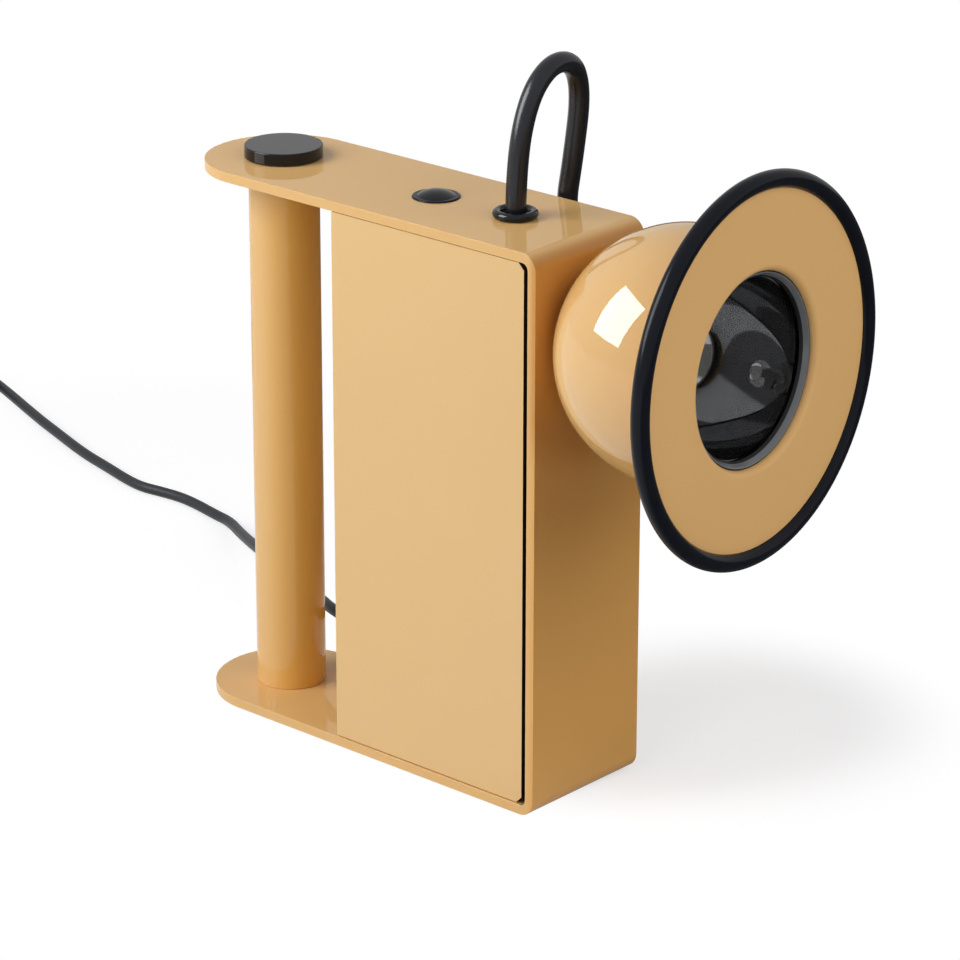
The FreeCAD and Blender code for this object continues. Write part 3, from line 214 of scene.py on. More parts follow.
lacquerBase = {
    "low": (0.740, 0.450, 0.172), "high": (0.762, 0.466, 0.182), "tintScale": 9,
    "rough": (0.36, 0.42), "wearScale": 40, "grainScale": 520, "grain": 0.04, "depth": 0.0003,
    "specular": 0.0, "coat": 0.62, "coatRough": 0.02, "coatIor": 1.6, "coatFollows": True,
}
finishes = {
    # painted light: a paler, less saturated copy of the lacquer for the brightly lit housing
    "lacquerPaintedLight": {**lacquerBase, "low": (0.745, 0.488, 0.213), "high": (0.767, 0.504, 0.224)},
    # painted shade: the front wall in a deeper colour, and darker still round the ball's seat
    "plateLacquerPaintedShade": {
        **lacquerBase, "paintedShadeRange": (0.0958, 0.1000), "paintedShadeColour": (0.735, 0.392, 0.112),
        "seat": (0.1005, 0.0, 0.2034), "seatReach": (0.044, 0.064), "seatColour": (0.600, 0.285, 0.066),
    },
    # painted shade: the tube deeper in colour on its side facing the housing
    "tubeLacquerPaintedShade": {**lacquerBase, "paintedShadeRange": (-0.0690, -0.0560), "paintedShadeColour": (0.765, 0.422, 0.100)},
    "ballLacquer": {**lacquerBase, "grain": 0.02, "coat": 1.0, "coatRough": 0.012, "coatIor": 1.7},
    # painted light: the disc's satin lacquer in a lighter copy of the colour
    "discSatinPaintedLight": {
        **lacquerBase, "low": (0.842, 0.496, 0.186), "high": (0.864, 0.510, 0.194), "rough": (0.44, 0.52),
        "grain": 0.05, "specular": 0.25, "coat": 0.3, "coatRough": 0.2, "coatIor": 1.5,
    },
    "leadSheath": {
        "low": (0.008, 0.009, 0.012), "high": (0.012, 0.013, 0.018), "tintScale": 40,
        "rough": (0.20, 0.27), "wearScale": 90, "grainScale": 2600, "grain": 0.08, "specular": 0.4,
    },
    "glossBlack": {
        "low": (0.004, 0.005, 0.007), "high": (0.007, 0.008, 0.011), "tintScale": 30,
        "rough": (0.04, 0.08), "wearScale": 60, "grainScale": 1500, "grain": 0.02, "specular": 0.33,
    },
    "satinBlack": {
        "low": (0.008, 0.009, 0.013), "high": (0.013, 0.014, 0.019), "tintScale": 40,
        "rough": (0.26, 0.34), "wearScale": 90, "grainScale": 2600, "grain": 0.10, "specular": 0.35,
    },
    "ringRubber": {
        "low": (0.006, 0.007, 0.011), "high": (0.010, 0.011, 0.016), "tintScale": 25,
        "rough": (0.14, 0.19), "wearScale": 70, "grainScale": 2200, "grain": 0.05, "specular": 0.12,
    },
    "cordSheath": {
        "low": (0.010, 0.012, 0.015), "high": (0.016, 0.019, 0.023), "tintScale": 60,
        "rough": (0.42, 0.55), "wearScale": 120, "grainScale": 3000, "grain": 0.15, "specular": 0.35,
    },
    "zinc": {
        "low": (0.50, 0.51, 0.53), "high": (0.62, 0.63, 0.64), "tintScale": 120,
        "rough": (0.28, 0.42), "wearScale": 200, "grainScale": 1500, "grain": 0.08, "metallic": 1.0,
    },
    "nickel": {
        "low": (0.66, 0.64, 0.60), "high": (0.74, 0.72, 0.68), "tintScale": 100,
        "rough": (0.14, 0.22), "wearScale": 200, "grainScale": 1200, "grain": 0.05, "metallic": 1.0,
    },
    "silver": {
        "low": (0.86, 0.85, 0.83), "high": (0.92, 0.91, 0.89), "tintScale": 100,
        "rough": (0.03, 0.06), "wearScale": 200, "grainScale": 1200, "grain": 0.02, "metallic": 1.0,
    },
    "bezelGrey": {
        "low": (0.150, 0.158, 0.169), "high": (0.172, 0.181, 0.193), "tintScale": 40,
        "rough": (0.12, 0.18), "wearScale": 90, "grainScale": 1500, "grain": 0.03,
    },
    # painted shade deep in the bezel's recess and at its gap to the disc
    "bezelPaintedShade": {
        "low": (0.010, 0.011, 0.013), "high": (0.014, 0.015, 0.017), "tintScale": 40,
        "rough": (0.3, 0.4), "wearScale": 90, "grainScale": 1500, "grain": 0.03, "specular": 0.2,
    },
    "smokedMirror": {
        "low": (0.285, 0.287, 0.293), "high": (0.305, 0.307, 0.313), "tintScale": 20,
        "rough": (0.012, 0.03), "wearScale": 60, "grainScale": 300, "grain": 0.01, "metallic": 1.0,
    },
    # painted shade for the faces inside the narrow joint
    "jointPaintedShade": {
        "low": (0.030, 0.014, 0.005), "high": (0.042, 0.020, 0.007), "tintScale": 40,
        "rough": (0.6, 0.7), "wearScale": 90, "grainScale": 1500, "grain": 0.05, "specular": 0.1,
    },
    "ceramic": {
        "low": (0.70, 0.68, 0.63), "high": (0.78, 0.76, 0.71), "tintScale": 60,
        "rough": (0.45, 0.6), "wearScale": 120, "grainScale": 1500, "grain": 0.1,
    },
    "coreIron": {
        "low": (0.05, 0.05, 0.055), "high": (0.09, 0.09, 0.095), "tintScale": 80, "rough": (0.4, 0.6),
        "wearScale": 150, "grainScale": 900, "grainStretch": (1, 40, 1), "grain": 0.4, "depth": 0.0003,
        "metallic": 0.6,
    },
    "windingTape": {
        "low": (0.55, 0.36, 0.05), "high": (0.66, 0.45, 0.08), "tintScale": 50, "rough": (0.3, 0.4),
        "wearScale": 90, "grainScale": 500, "grainStretch": (1, 1, 12), "grain": 0.3, "depth": 0.0003,
    },
    "circuitBoard": {
        "low": (0.02, 0.12, 0.05), "high": (0.03, 0.17, 0.07), "tintScale": 160,
        "rough": (0.3, 0.4), "wearScale": 90, "grainScale": 1500, "grain": 0.1,
    },
    "footPad": {
        "low": (0.020, 0.020, 0.021), "high": (0.034, 0.034, 0.035), "tintScale": 200,
        "rough": (0.8, 0.95), "wearScale": 300, "grainScale": 3500, "grain": 0.5, "depth": 0.0003,
    },
}
materials = {name: makeFinish(name, given) for name, given in finishes.items()}

glasses = {
    "lensGlass": {"tint": (0.97, 0.98, 0.98), "rough": (0.0, 0.01), "ior": 1.12, "gleam": (0.1, 0.1, 0.1)},
    "bulbGlass": {"tint": (0.95, 0.95, 0.94), "rough": (0.0, 0.03), "ior": 1.46, "gleam": (1, 1, 1)},
}
smearNoise = (60, 3.0, 0.5)


def makeGlass(name, settings):
    material, tree, shader, place = newMaterial(name)
    shader.inputs["Base Color"].default_value = (*settings["tint"], 1)
    shader.inputs["Transmission Weight"].default_value = 1.0
    shader.inputs["IOR"].default_value = settings["ior"]
    shader.inputs["Specular Tint"].default_value = (*settings["gleam"], 1)
    smear = addNoise(tree, place, *smearNoise)
    tree.links.new(rangeOf(tree, smear, *settings["rough"]), shader.inputs["Roughness"])
    return material


for name, settings in glasses.items():
    materials[name] = makeGlass(name, settings)
print("materials made:", len(materials))

# the CAD nodes that wear each finish
finishNodes = {
    "lacquerPaintedLight": ["frame_plate", "handle_tube", "housing_shell", "rear_cover", "ball_shell", "flange_disc"],
    "footPad": ["base_pad"],
    "zinc": ["handle_plug", "handle_screw", "dimmer_cap", "dimmer_pot", "knob_shaft", "button_spring",
             "base_screws", "base_nuts", "transformer_strap", "magnet_screws"],
    "nickel": ["dimmer_nut", "cover_screws", "board_posts", "magnet", "bulb_pins", "holder_screws",
               "plug_pins"],
    "glossBlack": ["dimmer_knob", "push_button"],
    "satinBlack": ["switch_case", "switch_nut", "seat_ring", "magnet_cup", "head_gland", "gland_nut",
                   "lens_seat", "top_grommet", "grommet_nut", "loop_lead", "mains_relief", "relief_nut",
                   "cord_tie", "mains_plug"],
    "ringRubber": ["edge_ring"],
    "bezelGrey": ["lens_bezel"],
    "lensGlass": ["lens_glass"],
    "smokedMirror": ["reflector_bowl"],
    "bulbGlass": ["bulb"],
    "ceramic": ["terminal_block", "lamp_holder"],
    "coreIron": ["transformer_core"],
    "windingTape": ["transformer_winding"],
    "circuitBoard": ["dimmer_board"],
    "cordSheath": ["mains_cord", "cord_coil", "plug_tail"],
}
for wear, worn in finishNodes.items():
    for name in worn:
        nodes[name].data.materials.clear()
        nodes[name].data.materials.append(materials[wear])


millimetre = 0.001


def toMetres(point):
    return Vector(point) * millimetre


mergeGap = 1e-7


def showPiece(name, mesh, body, wear, replaced=(), sharp=32):
    bmesh.ops.remove_doubles(mesh, verts=mesh.verts, dist=mergeGap)
    bmesh.ops.recalc_face_normals(mesh, faces=mesh.faces)
    data = bpy.data.meshes.new(name)
    mesh.to_mesh(data)
    mesh.free()
    data.shade_smooth()
    data.set_sharp_from_angle(angle=math.radians(sharp))
    data.materials.append(materials[wear])
    piece = bpy.data.objects.new(name, data)
    bpy.context.scene.collection.objects.link(piece)
    weigh = piece.modifiers.new("weigh", "WEIGHTED_NORMAL")
    weigh.keep_sharp = True
    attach(piece, body)
    if replaced:
        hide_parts(*replaced)
    return piece


# a section in millimetres, (radius, height), spun about Z
# each of rounds is a corner of the section, its radius and its segments
def turnSection(section, rounds, steps, closed=True):
    mesh = bmesh.new()
    corners = [mesh.verts.new(toMetres((radius, 0, height))) for radius, height in section]
    for here, there in zip(corners, corners[1:] + corners[:1] if closed else corners[1:]):
        mesh.edges.new((here, there))
    for index, size, segments in rounds:
        bmesh.ops.bevel(mesh, geom=[corners[index]], offset=size * millimetre, segments=segments,
                        profile=0.5, affect="VERTICES", material=-1)
    bmesh.ops.spin(mesh, geom=mesh.verts[:] + mesh.edges[:], cent=(0, 0, 0), axis=(0, 0, 1),
                   angle=2 * math.pi, steps=steps, use_merge=True)
    return mesh


def moveTo(mesh, matrix):
    bmesh.ops.transform(mesh, matrix=matrix, verts=mesh.verts)
    return mesh


def standAt(mesh, x, y, z=0.0):
    return moveTo(mesh, Matrix.Translation(toMetres((x, y, z))))


def cutAway(mesh, spot, way):
    bmesh.ops.bisect_plane(mesh, geom=mesh.verts[:] + mesh.edges[:] + mesh.faces[:], plane_co=spot,
                           plane_no=way, clear_outer=True)


easing = {"merge": 1e-6, "flat": 0.5, "hard": 28}


# the CAD node's own shape with its hard edges eased
def easedCopy(node, edge, segments=2):
    mesh = bmesh.new()
    mesh.from_mesh(nodes[node].data)
    bmesh.ops.remove_doubles(mesh, verts=mesh.verts, dist=easing["merge"])
    bmesh.ops.dissolve_limit(mesh, angle_limit=math.radians(easing["flat"]), verts=mesh.verts,
                             edges=mesh.edges)
    hard = [line for line in mesh.edges if len(line.link_faces) == 2
            and line.calc_face_angle(0) > math.radians(easing["hard"])]
    bmesh.ops.bevel(mesh, geom=hard, offset=edge * millimetre, offset_type="OFFSET", segments=segments,
                    profile=0.5, affect="EDGES", material=-1, clamp_overlap=True)
    return mesh


cordLook = {
    "diameter": 5.0, "sides": 6,
    "route": [(-18, 15.5, 31.8), (-50, 15.5, 31.8), (-88, 34.6, 29), (-150.5, 70, 18.5), (-200, 102.5, 6.9),
              (-222, 117.2, 3.2), (-236, 120.6, 2.5), (-252, 124.2, 2.5), (-265, 125.8, 2.5),
              (-278, 124.6, 2.5), (-289, 123.0, 2.5), (-302, 125.2, 2.5), (-322, 130.8, 2.5),
              (-345, 136.6, 2.5), (-378, 148.6, 2.5), (-402, 157.3, 2.5)],
    "coil": (-485.5, 150.6), "outerTurn": 37.5, "entry": 68.0, "approach": 19.8,
    "spiralTurns": 3.1, "riseTurns": 0.994, "settleTurns": 0.35, "pitch": 5.02, "perTurn": 16,
    "low": 3.35, "high": 8.4, "cut": 1.0125,
    "tail": [(12, 8.0), (25, 7.2), (38, 7.0), (48, 7.0)], "plugTurn": 227.8,
    "length": 1.81,
}


# the turns lie in two flat spirals, inward below and outward above
def coilPoints(look):
    turns = look["spiralTurns"] * 2 + look["riseTurns"]
    count = round(turns * look["perTurn"])
    onFloor = look["diameter"] / 2
    points = []
    for step in range(1, count):
        done = turns * step / count
        inward = min(done, look["spiralTurns"])
        outward = max(0.0, done - look["spiralTurns"] - look["riseTurns"])
        rise = min(1.0, max(0.0, (done - look["spiralTurns"]) / look["riseTurns"]))
        radius = (look["outerTurn"] - look["pitch"] * (inward - outward)) * look["cut"]
        height = look["low"] + (look["high"] - look["low"]) * rise * rise * (3 - 2 * rise)
        if done < look["settleTurns"]:
            height -= (look["low"] - onFloor) * (1 - done / look["settleTurns"])
        angle = math.radians(look["entry"]) + 2 * math.pi * done
        points.append((look["coil"][0] + radius * math.cos(angle),
                       look["coil"][1] + radius * math.sin(angle), height))
    return points


def cordCurve(name, points, diameter, sides, wear, smooth=8):
    data = bpy.data.curves.new(name, "CURVE")
    data.dimensions = "3D"
    data.bevel_depth = diameter / 2 * millimetre
    data.bevel_resolution = sides
    data.resolution_u = smooth
    data.use_fill_caps = True
    line = data.splines.new("NURBS")
    line.points.add(len(points) - 1)
    for spot, point in zip(line.points, points):
        spot.co = (*toMetres(point), 1)
    line.order_u = 3
    line.use_endpoint_u = True
    data.materials.append(materials[wear])
    curve = bpy.data.objects.new(name, data)
    bpy.context.scene.collection.objects.link(curve)
    return curve


# the line's own tube as a mesh, and the line itself taken away
def tubeMesh(curve):
    bpy.context.view_layer.update()
    graph = bpy.context.evaluated_depsgraph_get()
    data = bpy.data.meshes.new_from_object(curve.evaluated_get(graph))
    bpy.data.objects.remove(curve)
    return data


def blendedPiece(name, data, replaced):
    data.name = name
    data.shade_smooth()
    piece = bpy.data.objects.new(name, data)
    bpy.context.scene.collection.objects.link(piece)
    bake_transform(piece)
    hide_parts(replaced)


def makeMainsCord(look):
    entry = math.radians(look["entry"])
    onFloor = look["diameter"] / 2
    mouth = (look["coil"][0] + look["outerTurn"] * math.cos(entry) + look["approach"] * math.sin(entry),
             look["coil"][1] + look["outerTurn"] * math.sin(entry) - look["approach"] * math.cos(entry),
             onFloor)
    heading = math.radians(look["plugTurn"])
    out = heading - math.pi / 2
    start = (look["coil"][0] + look["outerTurn"] * math.cos(out),
             look["coil"][1] + look["outerTurn"] * math.sin(out))
    tail = [(start[0] + along * math.cos(heading), start[1] + along * math.sin(heading), height)
            for along, height in look["tail"]]
    points = look["route"] + [mouth] + coilPoints(look) + tail
    return cordCurve("mainsCordLine", points, look["diameter"], look["sides"], "cordSheath")


mainsCordLine = makeMainsCord(cordLook)
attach(mainsCordLine, "base")
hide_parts("mains_cord", "cord_coil", "plug_tail")
print("mains cord laid")


leadLook = {
    "diameter": 8.5, "sides": 10, "smooth": 12,
    "route": [(61, 0, 233), (61, 0, 262), (60.4, 8, 288), (59.8, 22, 299.5), (58.8, 37, 297.5),
              (57.6, 43.5, 283), (56.3, 41, 258), (52.5, 39.5, 230), (61.97, 46, 205), (81.97, 66, 195),
              (99.97, 89, 196), (121.97, 98, 199), (139.47, 88, 202.4), (145.05, 78.98, 203.4),
              (146.88, 46.33, 203.4)],
    "stillEnd": (55.5, 45, 201), "movingEnd": (146.5, 62, 203.4),
}


def makeLoopLead(look):
    curve = cordCurve("loopLeadLine", look["route"], look["diameter"], look["sides"], "leadSheath",
                      look["smooth"])
    blendedPiece("loopLead", tubeMesh(curve),
                 "loop_lead")


makeLoopLead(leadLook)
print("loop lead laid")


plateLook = {
    "edge": 0.5, "shellEdge": 0.6, "coverEdge": 0.25, "segments": 3,
    "joint": (0.0928, 0.0965), "jointHeights": (0.0051, 0.2369), "clip": 0.085,
    "facesBack": -0.1, "facesAhead": 0.3, "facesAside": 0.3,
}


# painted shade: the faces that meet across the narrow joint behind the front wall are drawn dark, as the
# shade in the gap
def makeFrame(look):
    near, far = look["joint"]
    low, high = look["jointHeights"]
    mesh = easedCopy("frame_plate", look["edge"], look["segments"])
    mesh.normal_update()
    for face in mesh.faces:
        middle = face.calc_center_median()
        inside = near < middle.x < far and low < middle.z < high
        back = face.normal.x < look["facesBack"] and abs(face.normal.y) < look["facesAside"]
        face.material_index = 1 if inside and back else 0
    plate = showPiece("framePlate", mesh, "base", "plateLacquerPaintedShade", ["frame_plate"])
    plate.data.materials.append(materials["jointPaintedShade"])
    mesh = easedCopy("housing_shell", look["shellEdge"], look["segments"])
    mesh.normal_update()
    for face in mesh.faces:
        ahead = face.normal.x > look["facesAhead"] and abs(face.normal.y) < look["facesAside"]
        # the housing's faces in the joint take the painted shade too
        face.material_index = 1 if ahead and face.calc_center_median().x > look["clip"] else 0
    shell = showPiece("housingShell", mesh, "base", "lacquerPaintedLight", ["housing_shell"])
    shell.data.materials.append(materials["jointPaintedShade"])
    showPiece("rearCover", easedCopy("rear_cover", look["coverEdge"]), "base", "lacquerPaintedLight",
              ["rear_cover"])


makeFrame(plateLook)
print("frame and housing made")


handleLook = {
    "place": (-67.5, 0), "outer": 14.9, "inner": 12.9, "low": 5.2, "high": 236.8,
    "rounds": [(1, 0.45, 3), (2, 0.45, 3)], "steps": 160,
}


def makeHandle(look):
    section = [(look["inner"], look["low"]), (look["outer"], look["low"]), (look["outer"], look["high"]),
               (look["inner"], look["high"])]
    mesh = turnSection(section, look["rounds"], look["steps"])
    showPiece("handleTube", standAt(mesh, *look["place"]), "base", "tubeLacquerPaintedShade",
              ["handle_tube"])


makeHandle(handleLook)


knobLook = {
    "place": (-67.5, 0), "rim": 16.5, "low": 241.3, "top": 246.5, "socket": 3.0, "socketTop": 245.4,
    "recess": 8.5, "recessTop": 244.3, "rounds": [(5, 0.5, 4), (6, 0.5, 5)], "steps": 160,
}


def makeKnob(look):
    section = [(0, look["socketTop"]), (look["socket"], look["socketTop"]),
               (look["socket"], look["recessTop"]), (look["recess"], look["recessTop"]),
               (look["recess"], look["low"]), (look["rim"], look["low"]), (look["rim"], look["top"]),
               (0, look["top"])]
    mesh = turnSection(section, look["rounds"], look["steps"], closed=False)
    showPiece("dimmerKnob", standAt(mesh, *look["place"]), "knob", "glossBlack",
              ["dimmer_knob"])


makeKnob(knobLook)


switchLook = {
    "place": (18.4, 0), "flange": 10, "barrel": 9, "bore": 8, "deck": 241, "lift": 0.7, "bottom": 219,
    "floor": 221, "rounds": [(4, 0.69, 6), (5, 0.1, 2)], "steps": 96,
    "button": 7.9, "crown": 2.4, "skirt": 6, "stem": 2.5, "stemLength": 12,
}


def makeSwitchCase(look):
    top = look["deck"] + look["lift"]
    section = [(0, look["bottom"]), (look["barrel"], look["bottom"]), (look["barrel"], look["deck"]),
               (look["flange"], look["deck"]), (look["flange"], top), (look["bore"], top),
               (look["bore"], look["floor"]), (0, look["floor"])]
    mesh = turnSection(section, look["rounds"], look["steps"], closed=False)
    showPiece("switchCase", standAt(mesh, *look["place"]), "base", "ringRubber",
              ["switch_case"])


# a dome with a straight skirt below it and a stem below that
def makeButton(look):
    reach = look["button"] * millimetre
    crown = look["crown"] * millimetre
    domeRadius = (reach * reach + crown * crown) / (2 * crown)
    cut = domeRadius - crown
    dome = bmesh.new()
    bmesh.ops.create_uvsphere(dome, u_segments=look["steps"], v_segments=look["steps"], radius=domeRadius)
    cutAway(dome, (0, 0, cut), (0, 0, -1))
    for size, drop in ((1, look["skirt"]), (look["stem"] / look["button"], 0), (1, look["stemLength"])):
        rim = [line for line in dome.edges if line.is_boundary]
        moved = bmesh.ops.extrude_edge_only(dome, edges=rim)["geom"]
        spots = [item for item in moved if isinstance(item, bmesh.types.BMVert)]
        bmesh.ops.scale(dome, vec=(size, size, 1), verts=spots)
        bmesh.ops.translate(dome, vec=(0, 0, -drop * millimetre), verts=spots)
    bmesh.ops.contextual_create(dome, geom=[line for line in dome.edges if line.is_boundary])
    moveTo(dome, Matrix.Translation((0, 0, (look["deck"] + look["lift"]) * millimetre - cut)))
    showPiece("pushButton", standAt(dome, *look["place"]), "button", "glossBlack",
              ["push_button"])


makeSwitchCase(switchLook)
makeButton(switchLook)


springLook = {
    "place": (18.4, 0), "coil": 4.2, "wire": 0.8, "sides": 2, "turns": 6, "perTurn": 12,
    "low": 221.4, "high": 235.3,
}


# a coil between the case's floor and the button's skirt
def makeSpring(look):
    x, y = look["place"]
    count = look["turns"] * look["perTurn"]
    points = []
    for step in range(count + 1):
        angle = 2 * math.pi * step / look["perTurn"]
        points.append((x + look["coil"] * math.cos(angle), y + look["coil"] * math.sin(angle),
                       look["low"] + (look["high"] - look["low"]) * step / count))
    curve = cordCurve("springLine", points, look["wire"], look["sides"], "zinc")
    blendedPiece("buttonSpring", tubeMesh(curve),
                 "button_spring")


makeSpring(springLook)


grommetLook = {
    "place": (61, 0), "bore": 4.35, "barrel": 6.2, "rimCentre": 7.5, "rim": 1.8, "deck": 241, "depth": 9,
    "rounds": [(3, 1.799, 8), (4, 1.799, 8), (5, 1.799, 8), (6, 0.4, 3)], "steps": 96,
}


# a round rim with a groove inside it, round the lead
def makeGrommet(look):
    low = look["deck"] - look["depth"]
    groove = look["deck"] + look["rim"]
    outer = look["rimCentre"] + look["rim"]
    inner = look["rimCentre"] - look["rim"]
    top = look["deck"] + 2 * look["rim"]
    section = [(look["bore"], low), (look["barrel"], low), (look["barrel"], look["deck"]),
               (outer, look["deck"]), (outer, top), (inner, top), (inner, groove), (look["bore"], groove)]
    mesh = turnSection(section, look["rounds"], look["steps"])
    showPiece("topGrommet", standAt(mesh, *look["place"]), "base", "glossBlack",
              ["top_grommet"])


makeGrommet(grommetLook)
print("controls and grommet made")


headAim = {"centre": (149.467, 0, 203.4), "yaw": 3.2, "pitch": 0.9}
headPlace = (Matrix.Translation(toMetres(headAim["centre"]))
             @ Matrix.Rotation(math.radians(headAim["yaw"]), 4, "Z"))
beamTurn = headPlace @ Matrix.Rotation(math.radians(-headAim["pitch"]), 4, "Y")
alongBeam = beamTurn @ Matrix.Rotation(math.pi / 2, 4, "Y")
alongPole = headPlace @ Matrix.Rotation(math.pi / 2, 4, "Z") @ Matrix.Rotation(math.pi / 2, 4, "Y")


sphereSteps = {"around": 144, "along": 96}


def cutSphere(radius, low, high):
    mesh = bmesh.new()
    bmesh.ops.create_uvsphere(mesh, u_segments=sphereSteps["around"], v_segments=sphereSteps["along"],
                              radius=radius * millimetre)
    for height, way in ((high, 1), (low, -1)):
        if height is not None:
            cutAway(mesh, (0, 0, height * millimetre), (0, 0, way))
    return mesh


def thicken(mesh, wall):
    bmesh.ops.recalc_face_normals(mesh, faces=mesh.faces)
    bmesh.ops.solidify(mesh, geom=mesh.faces[:], thickness=wall * millimetre)


ballLook = {"radius": 51.9, "wall": 1.0, "mouth": 31.2, "glandHole": 6.25}


def makeBall(look):
    mesh = cutSphere(look["radius"], None, math.sqrt(look["radius"] ** 2 - look["glandHole"] ** 2))
    moveTo(mesh, Matrix.Rotation(math.radians(-90), 4, "X"))
    cutAway(mesh, (look["mouth"] * millimetre, 0, 0), (1, 0, 0))
    thicken(mesh, look["wall"])
    showPiece("ballShell", moveTo(mesh, beamTurn), "head", "ballLacquer", ["ball_shell"])


discLook = {
    "face": 34.2, "sheet": 1.6, "outer": 76.4, "opening": 39.2, "roll": 3.0,
    "rounds": [(1, 2.999, 10), (4, 1.399, 6)], "steps": 192, "sharp": 50,
    "ringCentre": 75.2, "ringTube": 3.7, "ringSides": 40,
}


def makeDisc(look):
    back = look["face"] - look["sheet"]
    foot = look["face"] - look["roll"]
    innerRoll = look["opening"] + look["sheet"]
    section = [(look["opening"], foot), (look["opening"], look["face"]), (look["outer"], look["face"]),
               (look["outer"], back), (innerRoll, back), (innerRoll, foot)]
    mesh = turnSection(section, look["rounds"], look["steps"])
    showPiece("flangeDisc", moveTo(mesh, alongBeam), "head", "discSatinPaintedLight",
              ["flange_disc"], look["sharp"])


def makeRing(look):
    mesh = bmesh.new()
    bmesh.ops.create_circle(mesh, segments=look["ringSides"], radius=look["ringTube"] * millimetre)
    moveTo(mesh, Matrix.Rotation(math.pi / 2, 4, "X"))
    standAt(mesh, look["ringCentre"], 0, look["face"] - look["sheet"] / 2)
    bmesh.ops.spin(mesh, geom=mesh.verts[:] + mesh.edges[:], cent=(0, 0, 0), axis=(0, 0, 1),
                   angle=2 * math.pi, steps=look["steps"], use_merge=True)
    showPiece("edgeRing", moveTo(mesh, alongBeam), "head", "ringRubber", ["edge_ring"])


bezelLook = {
    "outer": 39.0, "mouth": 38.2, "foot": 36.2, "lip": 31.4, "glassFace": 28.2, "brightShare": 0.62,
    "rounds": [(2, 0.3, 4), (3, 0.3, 4)], "steps": 160, "sharp": 40,
}


# grey on the slope next to the mouth, with painted shade below it and on the lip's outer half
def makeBezel(look):
    turning = look["mouth"] - (look["mouth"] - look["foot"]) * look["brightShare"]
    level = look["lip"] - (look["lip"] - look["glassFace"]) * look["brightShare"]
    section = [(look["foot"], look["glassFace"]), (turning, level), (look["mouth"], look["lip"]),
               (look["outer"], look["lip"]), (look["outer"], look["glassFace"])]
    mesh = turnSection(section, look["rounds"], look["steps"])
    lipMiddle = (look["mouth"] + look["outer"]) / 2
    for face in mesh.faces:
        middle = face.calc_center_median() / millimetre
        outside = math.hypot(middle.x, middle.y) > lipMiddle
        face.material_index = 1 if middle.z < level or outside else 0
    piece = showPiece("lensBezel", moveTo(mesh, alongBeam), "head", "bezelGrey",
                      ["lens_bezel"], look["sharp"])
    piece.data.materials.append(materials["bezelPaintedShade"])


bowlLook = {"radius": 38.35, "depth": 43.0, "wall": 1.0, "centre": 15.0, "rim": 26.2, "hole": 8.0}


def makeBowl(look):
    stretch = look["depth"] / look["radius"]
    low = -math.sqrt(look["radius"] ** 2 - look["hole"] ** 2)
    mesh = cutSphere(look["radius"], low, (look["rim"] - look["centre"]) / stretch)
    bmesh.ops.scale(mesh, vec=(1, 1, stretch), verts=mesh.verts)
    thicken(mesh, look["wall"])
    standAt(mesh, 0, 0, look["centre"])
    showPiece("reflectorBowl", moveTo(mesh, alongBeam), "head", "smokedMirror",
              ["reflector_bowl"])


bulbLook = {
    "radius": 5.8, "foot": -19.24, "tip": -0.5, "steps": 64,
    "rounds": [(1, 5.79, 12), (2, 1.5, 4), (3, 1.0, 3)],
    "pinch": 7.0, "pinchHalf": 4.6, "pinchDrop": 2, "pinchEdge": 1, "pinchFlat": 0.45,
    "crown": 6.0, "coat": 0.12, "crownRounds": [(1, 5.91, 12), (4, 5.79, 12)],
    "filament": 0.8, "wire": 0.35, "wireSides": 2, "turns": 6, "perTurn": 8, "coilFoot": -11.0,
    "coilLength": 5.0, "leg": 2.4, "legFoot": 1, "legBend": 1, "legTop": 0.5,
}


# a capsule of clear glass with a flat pinch at its foot and a bright crown on its tip
def makeBulb(look):
    reach = look["radius"]
    foot = look["foot"]
    tip = look["tip"]
    shoulder = foot + look["pinch"]
    section = [(0, tip), (reach, tip), (reach, shoulder), (look["pinchHalf"], shoulder - look["pinchDrop"]),
               (look["pinchHalf"], foot), (0, foot)]
    mesh = turnSection(section, look["rounds"], look["steps"], closed=False)
    for spot in mesh.verts:
        if spot.co.z < (shoulder - look["pinchEdge"]) * millimetre:
            spot.co.x *= look["pinchFlat"]
    showPiece("bulbEnvelope", moveTo(mesh, alongBeam), "head", "bulbGlass", ["bulb"])
    crownFoot = tip - look["crown"]
    outer = reach + look["coat"]
    top = tip + look["coat"]
    crownSection = [(0, top), (outer, top), (outer, crownFoot), (reach, crownFoot), (reach, tip), (0, tip)]
    crown = turnSection(crownSection, look["crownRounds"], look["steps"], closed=False)
    showPiece("bulbCrown", moveTo(crown, alongBeam), "head", "silver")


def makeFilament(look):
    count = look["turns"] * look["perTurn"]
    top = look["coilFoot"] + look["coilLength"]
    low = look["foot"] + look["legFoot"]
    leg = look["leg"]
    points = [(-leg, 0, low), (-leg, 0, look["coilFoot"] - look["legBend"])]
    for step in range(count + 1):
        angle = 2 * math.pi * step / look["perTurn"]
        along = look["coilFoot"] + look["coilLength"] * step / count
        points.append((look["filament"] * math.cos(angle), look["filament"] * math.sin(angle), along))
    points += [(leg, 0, top + look["legTop"]), (leg, 0, low)]
    data = tubeMesh(cordCurve("filamentLine", points, look["wire"], look["wireSides"], "nickel"))
    mesh = bmesh.new()
    mesh.from_mesh(data)
    bpy.data.meshes.remove(data)
    showPiece("filament", moveTo(mesh, alongBeam), "head", "nickel")


makeBall(ballLook)
makeDisc(discLook)
makeRing(discLook)
makeBezel(bezelLook)
makeBowl(bowlLook)
makeBulb(bulbLook)
makeFilament(bulbLook)
print("lamp head made")


